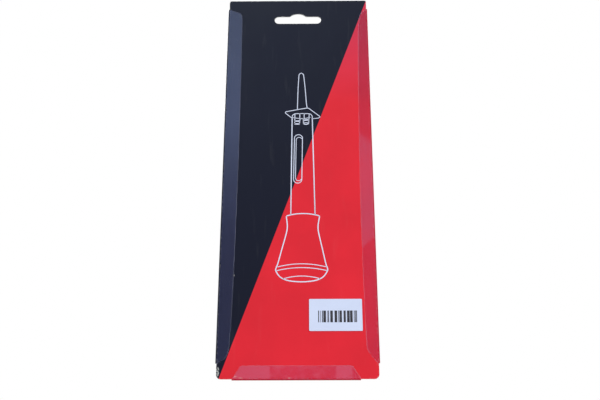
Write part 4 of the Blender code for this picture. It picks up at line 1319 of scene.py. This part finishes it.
for back, down in ((0, 1), (RIM_CURVE, RIM_CURVE), (1, 0)):
    outside.append((BULB_RIM_RADIUS - BAND_PROUD * back, bulb_height - BAND_PROUD * down))
print("points on the bulb's outside:", len(outside))

# %% Turn the bulb
RUBBER = (0.006, 0.006, 0.0065)
WORN_RUBBER = (0.03, 0.03, 0.03)

neck = barrel_high.x + GAP
ledge = neck - LEDGE_WIDTH
ledge_top = bulb_height - NECK_DEPTH
ledge_foot = ledge_top - LEDGE_HEIGHT
inside = [(neck, bulb_height), (neck, ledge_top), (ledge, ledge_top), (ledge, ledge_foot)]
for way in even_steps(CHAMBER_POINTS)[1:-1]:
    height = blend(ledge_foot, belly, way)
    inside.append((bulb_radius(max(height, band)) - BULB_WALL, height))
floor_height = BULB_DISH + BULB_FLOOR
inside += [(BULB_BELLY_RADIUS - BULB_WALL, belly),
           (BULB_BELLY_RADIUS - 2 * BULB_WALL, floor_height + FLOOR_ROUND),
           (BULB_FOOT_RADIUS - BULB_WALL / 2, floor_height), (0, floor_height)]
bulb_outline = [(radius, bulb_low.z + height) for radius, height in outside + inside]
rubber = solid_finish("black_rubber", RUBBER, rough=(0.50, 0.66), blobs=(1600.0, 0.000012),
                      wear=WORN_RUBBER, shade=0.15, sockets={"Specular IOR Level": 0.3})
bulb_work = turned(bulb_outline, BULB_SIDES)
bulb = new_piece("squeeze_bulb", bulb_work, [rubber], "pack", "rubber_bulb")
print("bulb has", len(bulb.data.polygons), "faces")

# %% [markdown]
# ## Barrel, spout and float
# The barrel is a clear tube, the spout a hollow taper over the plug's spigot, and the float a small sealed
# tube with a weight, a drop of resin, a rolled scale and a stopper. All of them are round, so they are turned
# as well. Tube ends get small rounds, which catch the light the way a moulded or fire-polished rim does.
# The square flanged plug and the barrel's perforated stop are good as measured and only get a finish.

# %% Barrel
BARREL_WALL = 0.0012
RIM_ROUND = 0.00035
BARREL_TINT = (0.42, 0.47, 0.51)


def sleeve(inner, outer, low, high):
    """The outline of a straight tube, or of a rod where inner is 0."""
    return [(inner, low), (outer, low), (outer, high), (inner, high)]


bore = barrel_high.x - BARREL_WALL
barrel_outline = eased_corners(sleeve(bore, barrel_high.x, barrel_low.z, barrel_high.z), RIM_ROUND)
barrel_finish = clear_finish("clear_barrel", BARREL_TINT, haze=(0.005, 0.014), rough=0.03, scuffs=0.012,
                             extra_haze=rim_haze)
barrel_work = turned(barrel_outline, BARREL_SIDES)
barrel = new_piece("clear_tube", barrel_work, [barrel_finish], "barrel", "barrel")
lets_light_in(barrel)
print("barrel bore", in_mm(2 * bore), "mm")

# %% Spout
SPOUT_BASE = 0.0046
SPOUT_TIP = 0.0023
SPOUT_BORE = 0.0013
SOCKET = 0.0033
SOCKET_DEPTH = 0.012
FOOT_HEIGHT = 0.0012
FOOT_ROUND = 0.0003
SPOUT_RINGS = 12
# shares of the tip's wall, outwards from the bore and down from the tip
LIP_CURVE = ((0.0, 0.0), (0.5, 0.0), (0.85, 0.2), (1.0, 0.7))
BLACK_PLASTIC = (0.016, 0.016, 0.018)
WORN_PLASTIC = (0.08, 0.08, 0.085)

lip = SPOUT_TIP - SPOUT_BORE
taper_top = nozzle_high.z - lip
spout_foot = nozzle_low.z + FOOT_HEIGHT
taper_foot = spout_foot + FOOT_HEIGHT
socket_top = nozzle_low.z + SOCKET_DEPTH
spout_outline = [(SPOUT_BORE + lip * out, nozzle_high.z - lip * down) for out, down in LIP_CURVE]
for way in even_steps(SPOUT_RINGS)[1:]:
    spout_outline.append((blend(SPOUT_TIP, SPOUT_BASE, way), blend(taper_top, taper_foot, way)))
spout_outline += [(nozzle_high.x, spout_foot), (nozzle_high.x, nozzle_low.z + FOOT_ROUND),
                  (nozzle_high.x - FOOT_ROUND, nozzle_low.z), (SOCKET, nozzle_low.z), (SOCKET, socket_top),
                  (SPOUT_BORE, socket_top + SOCKET - SPOUT_BORE)]
moulding = solid_finish("black_plastic", BLACK_PLASTIC, rough=(0.30, 0.42), blobs=(1200.0, 0.00002),
                        wear=WORN_PLASTIC, shade=0.10)
new_piece("spout", turned(spout_outline, SPOUT_SIDES), [moulding], "nozzle", "nozzle")
dress("flange_plug", moulding)
print("spout is", in_mm(nozzle_high.z - nozzle_low.z), "mm long")

# %% Float tube and weight
FLOAT_WALL = 0.0006
DOME_STEPS = 10
FLOAT_TINT = (0.48, 0.53, 0.57)
DULL_METAL = (0.22, 0.22, 0.24)

tube_low, tube_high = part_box("float_tube")
weight_low, weight_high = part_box("float_ballast")
float_radius = tube_high.x
float_bore = float_radius - FLOAT_WALL
weight_radius = weight_high.x
crown = tube_high.z - float_radius


def dome(radius):
    """Points from the top of the float's round end to its straight side."""
    return [(0, crown + radius)] + arc((0, crown), radius, 90, 0, DOME_STEPS)[1:]


tube_side = [(float_radius, tube_low.z), (float_bore, tube_low.z)]
tube_outline = dome(float_radius) + tube_side + dome(float_bore)[::-1]
float_finish = clear_finish("float_clear", FLOAT_TINT, haze=(0.003, 0.010), rough=0.02, scuffs=0.008,
                            extra_haze=rim_haze)
tube = turned(tube_outline, FLOAT_SIDES)
glass = new_piece("float_glass", tube, [float_finish], "float", "float_tube")
lets_light_in(glass)

weight_outline = dome(weight_radius) + [(weight_radius, weight_low.z), (0, weight_low.z)]
metal = solid_finish("ballast_metal", DULL_METAL, rough=(0.38, 0.62), blobs=(900.0, 0.00008), shade=0.35,
                     sockets={"Metallic": 1.0})
weight = turned(weight_outline, WEIGHT_SIDES)
new_piece("float_weight", weight, [metal], "float", "float_ballast")
print("float is", in_mm(tube_high.z - tube_low.z), "mm long without its stopper")

# %% Resin and reading bands
RESIN_RED = (0.42, 0.03, 0.02)
RESIN_ROUND = 0.0002
BANDS = ((0.62, 0.03, 0.03), (0.82, 0.82, 0.78), (0.05, 0.36, 0.09))
SCALE_FILM = 0.0003
TICKS_IN_BAND = 6
TICK_WIDTH = 0.14
TICK_INK, TICK_STRENGTH = (0.03, 0.03, 0.03), 0.8

resin_low, resin_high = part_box("float_resin")
resin_outline = eased_corners(sleeve(0, resin_high.x, resin_low.z, resin_high.z), RESIN_ROUND)
drop = turned(resin_outline, WEIGHT_SIDES)
resin = solid_finish("resin_red", RESIN_RED, rough=(0.12, 0.25), blobs=(300.0, 0.00005), shade=0.2)
new_piece("float_resin_drop", drop, [resin], "float", "float_resin")

scale_low, scale_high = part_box("float_scale")
scale_outline = sleeve(scale_high.x - SCALE_FILM, scale_high.x, scale_low.z, scale_high.z)
scale_paper, tree, shader = new_finish("scale_paper", {"Roughness": 0.6})
height = put(tree, "ShaderNodeSeparateXYZ", {0: place_on(tree)}).outputs["Z"]
band_height = (scale_high.z - scale_low.z) / len(BANDS)
paint = BANDS[0]
for i, tone in enumerate(BANDS[1:], 1):
    paint = mixed(tree, worked(tree, "GREATER_THAN", height, scale_low.z + i * band_height), paint, tone)
ticks = worked(tree, "FRACT", worked(tree, "DIVIDE", height, band_height / TICKS_IN_BAND), 0.0)
tick = times(tree, worked(tree, "LESS_THAN", ticks, TICK_WIDTH), TICK_STRENGTH)
fill(tree, shader, {"Base Color": mixed(tree, tick, paint, TICK_INK)})
grained(tree, shader, scale=2200.0, depth=0.00002)
strip = turned(scale_outline, FLOAT_SIDES)
new_piece("float_bands", strip, [scale_paper], "float", "float_scale")
print("each band is", in_mm(band_height), "mm high")

# %% Stopper and retainer
CAP_RED = (0.55, 0.03, 0.025)
WORN_CAP = (0.7, 0.3, 0.28)
CAP_ROUND = 0.0003
WHITE_PLASTIC = (0.74, 0.74, 0.71)
WORN_WHITE = (0.8, 0.8, 0.78)

cap_low, cap_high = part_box("float_cap")
shoulder = tube_low.z - GAP
cap_outline = [(0, cap_low.z), (float_radius, cap_low.z), (float_radius, shoulder), (weight_radius, shoulder),
               (weight_radius, cap_high.z), (0, cap_high.z)]
cap_finish = solid_finish("cap_red", CAP_RED, rough=(0.32, 0.45), blobs=(1200.0, 0.00002), wear=WORN_CAP)
cap = turned(eased_corners(cap_outline, CAP_ROUND), FLOAT_SIDES)
new_piece("float_stopper", cap, [cap_finish], "float", "float_cap")

perforated = solid_finish("white_plastic", WHITE_PLASTIC, rough=(0.35, 0.5), blobs=(1100.0, 0.00002),
                          wear=WORN_WHITE, shade=0.04)
dress("float_retainer", perforated)
print("float pieces stand between", in_mm(cap_low.z), "and", in_mm(tube_high.z), "mm")
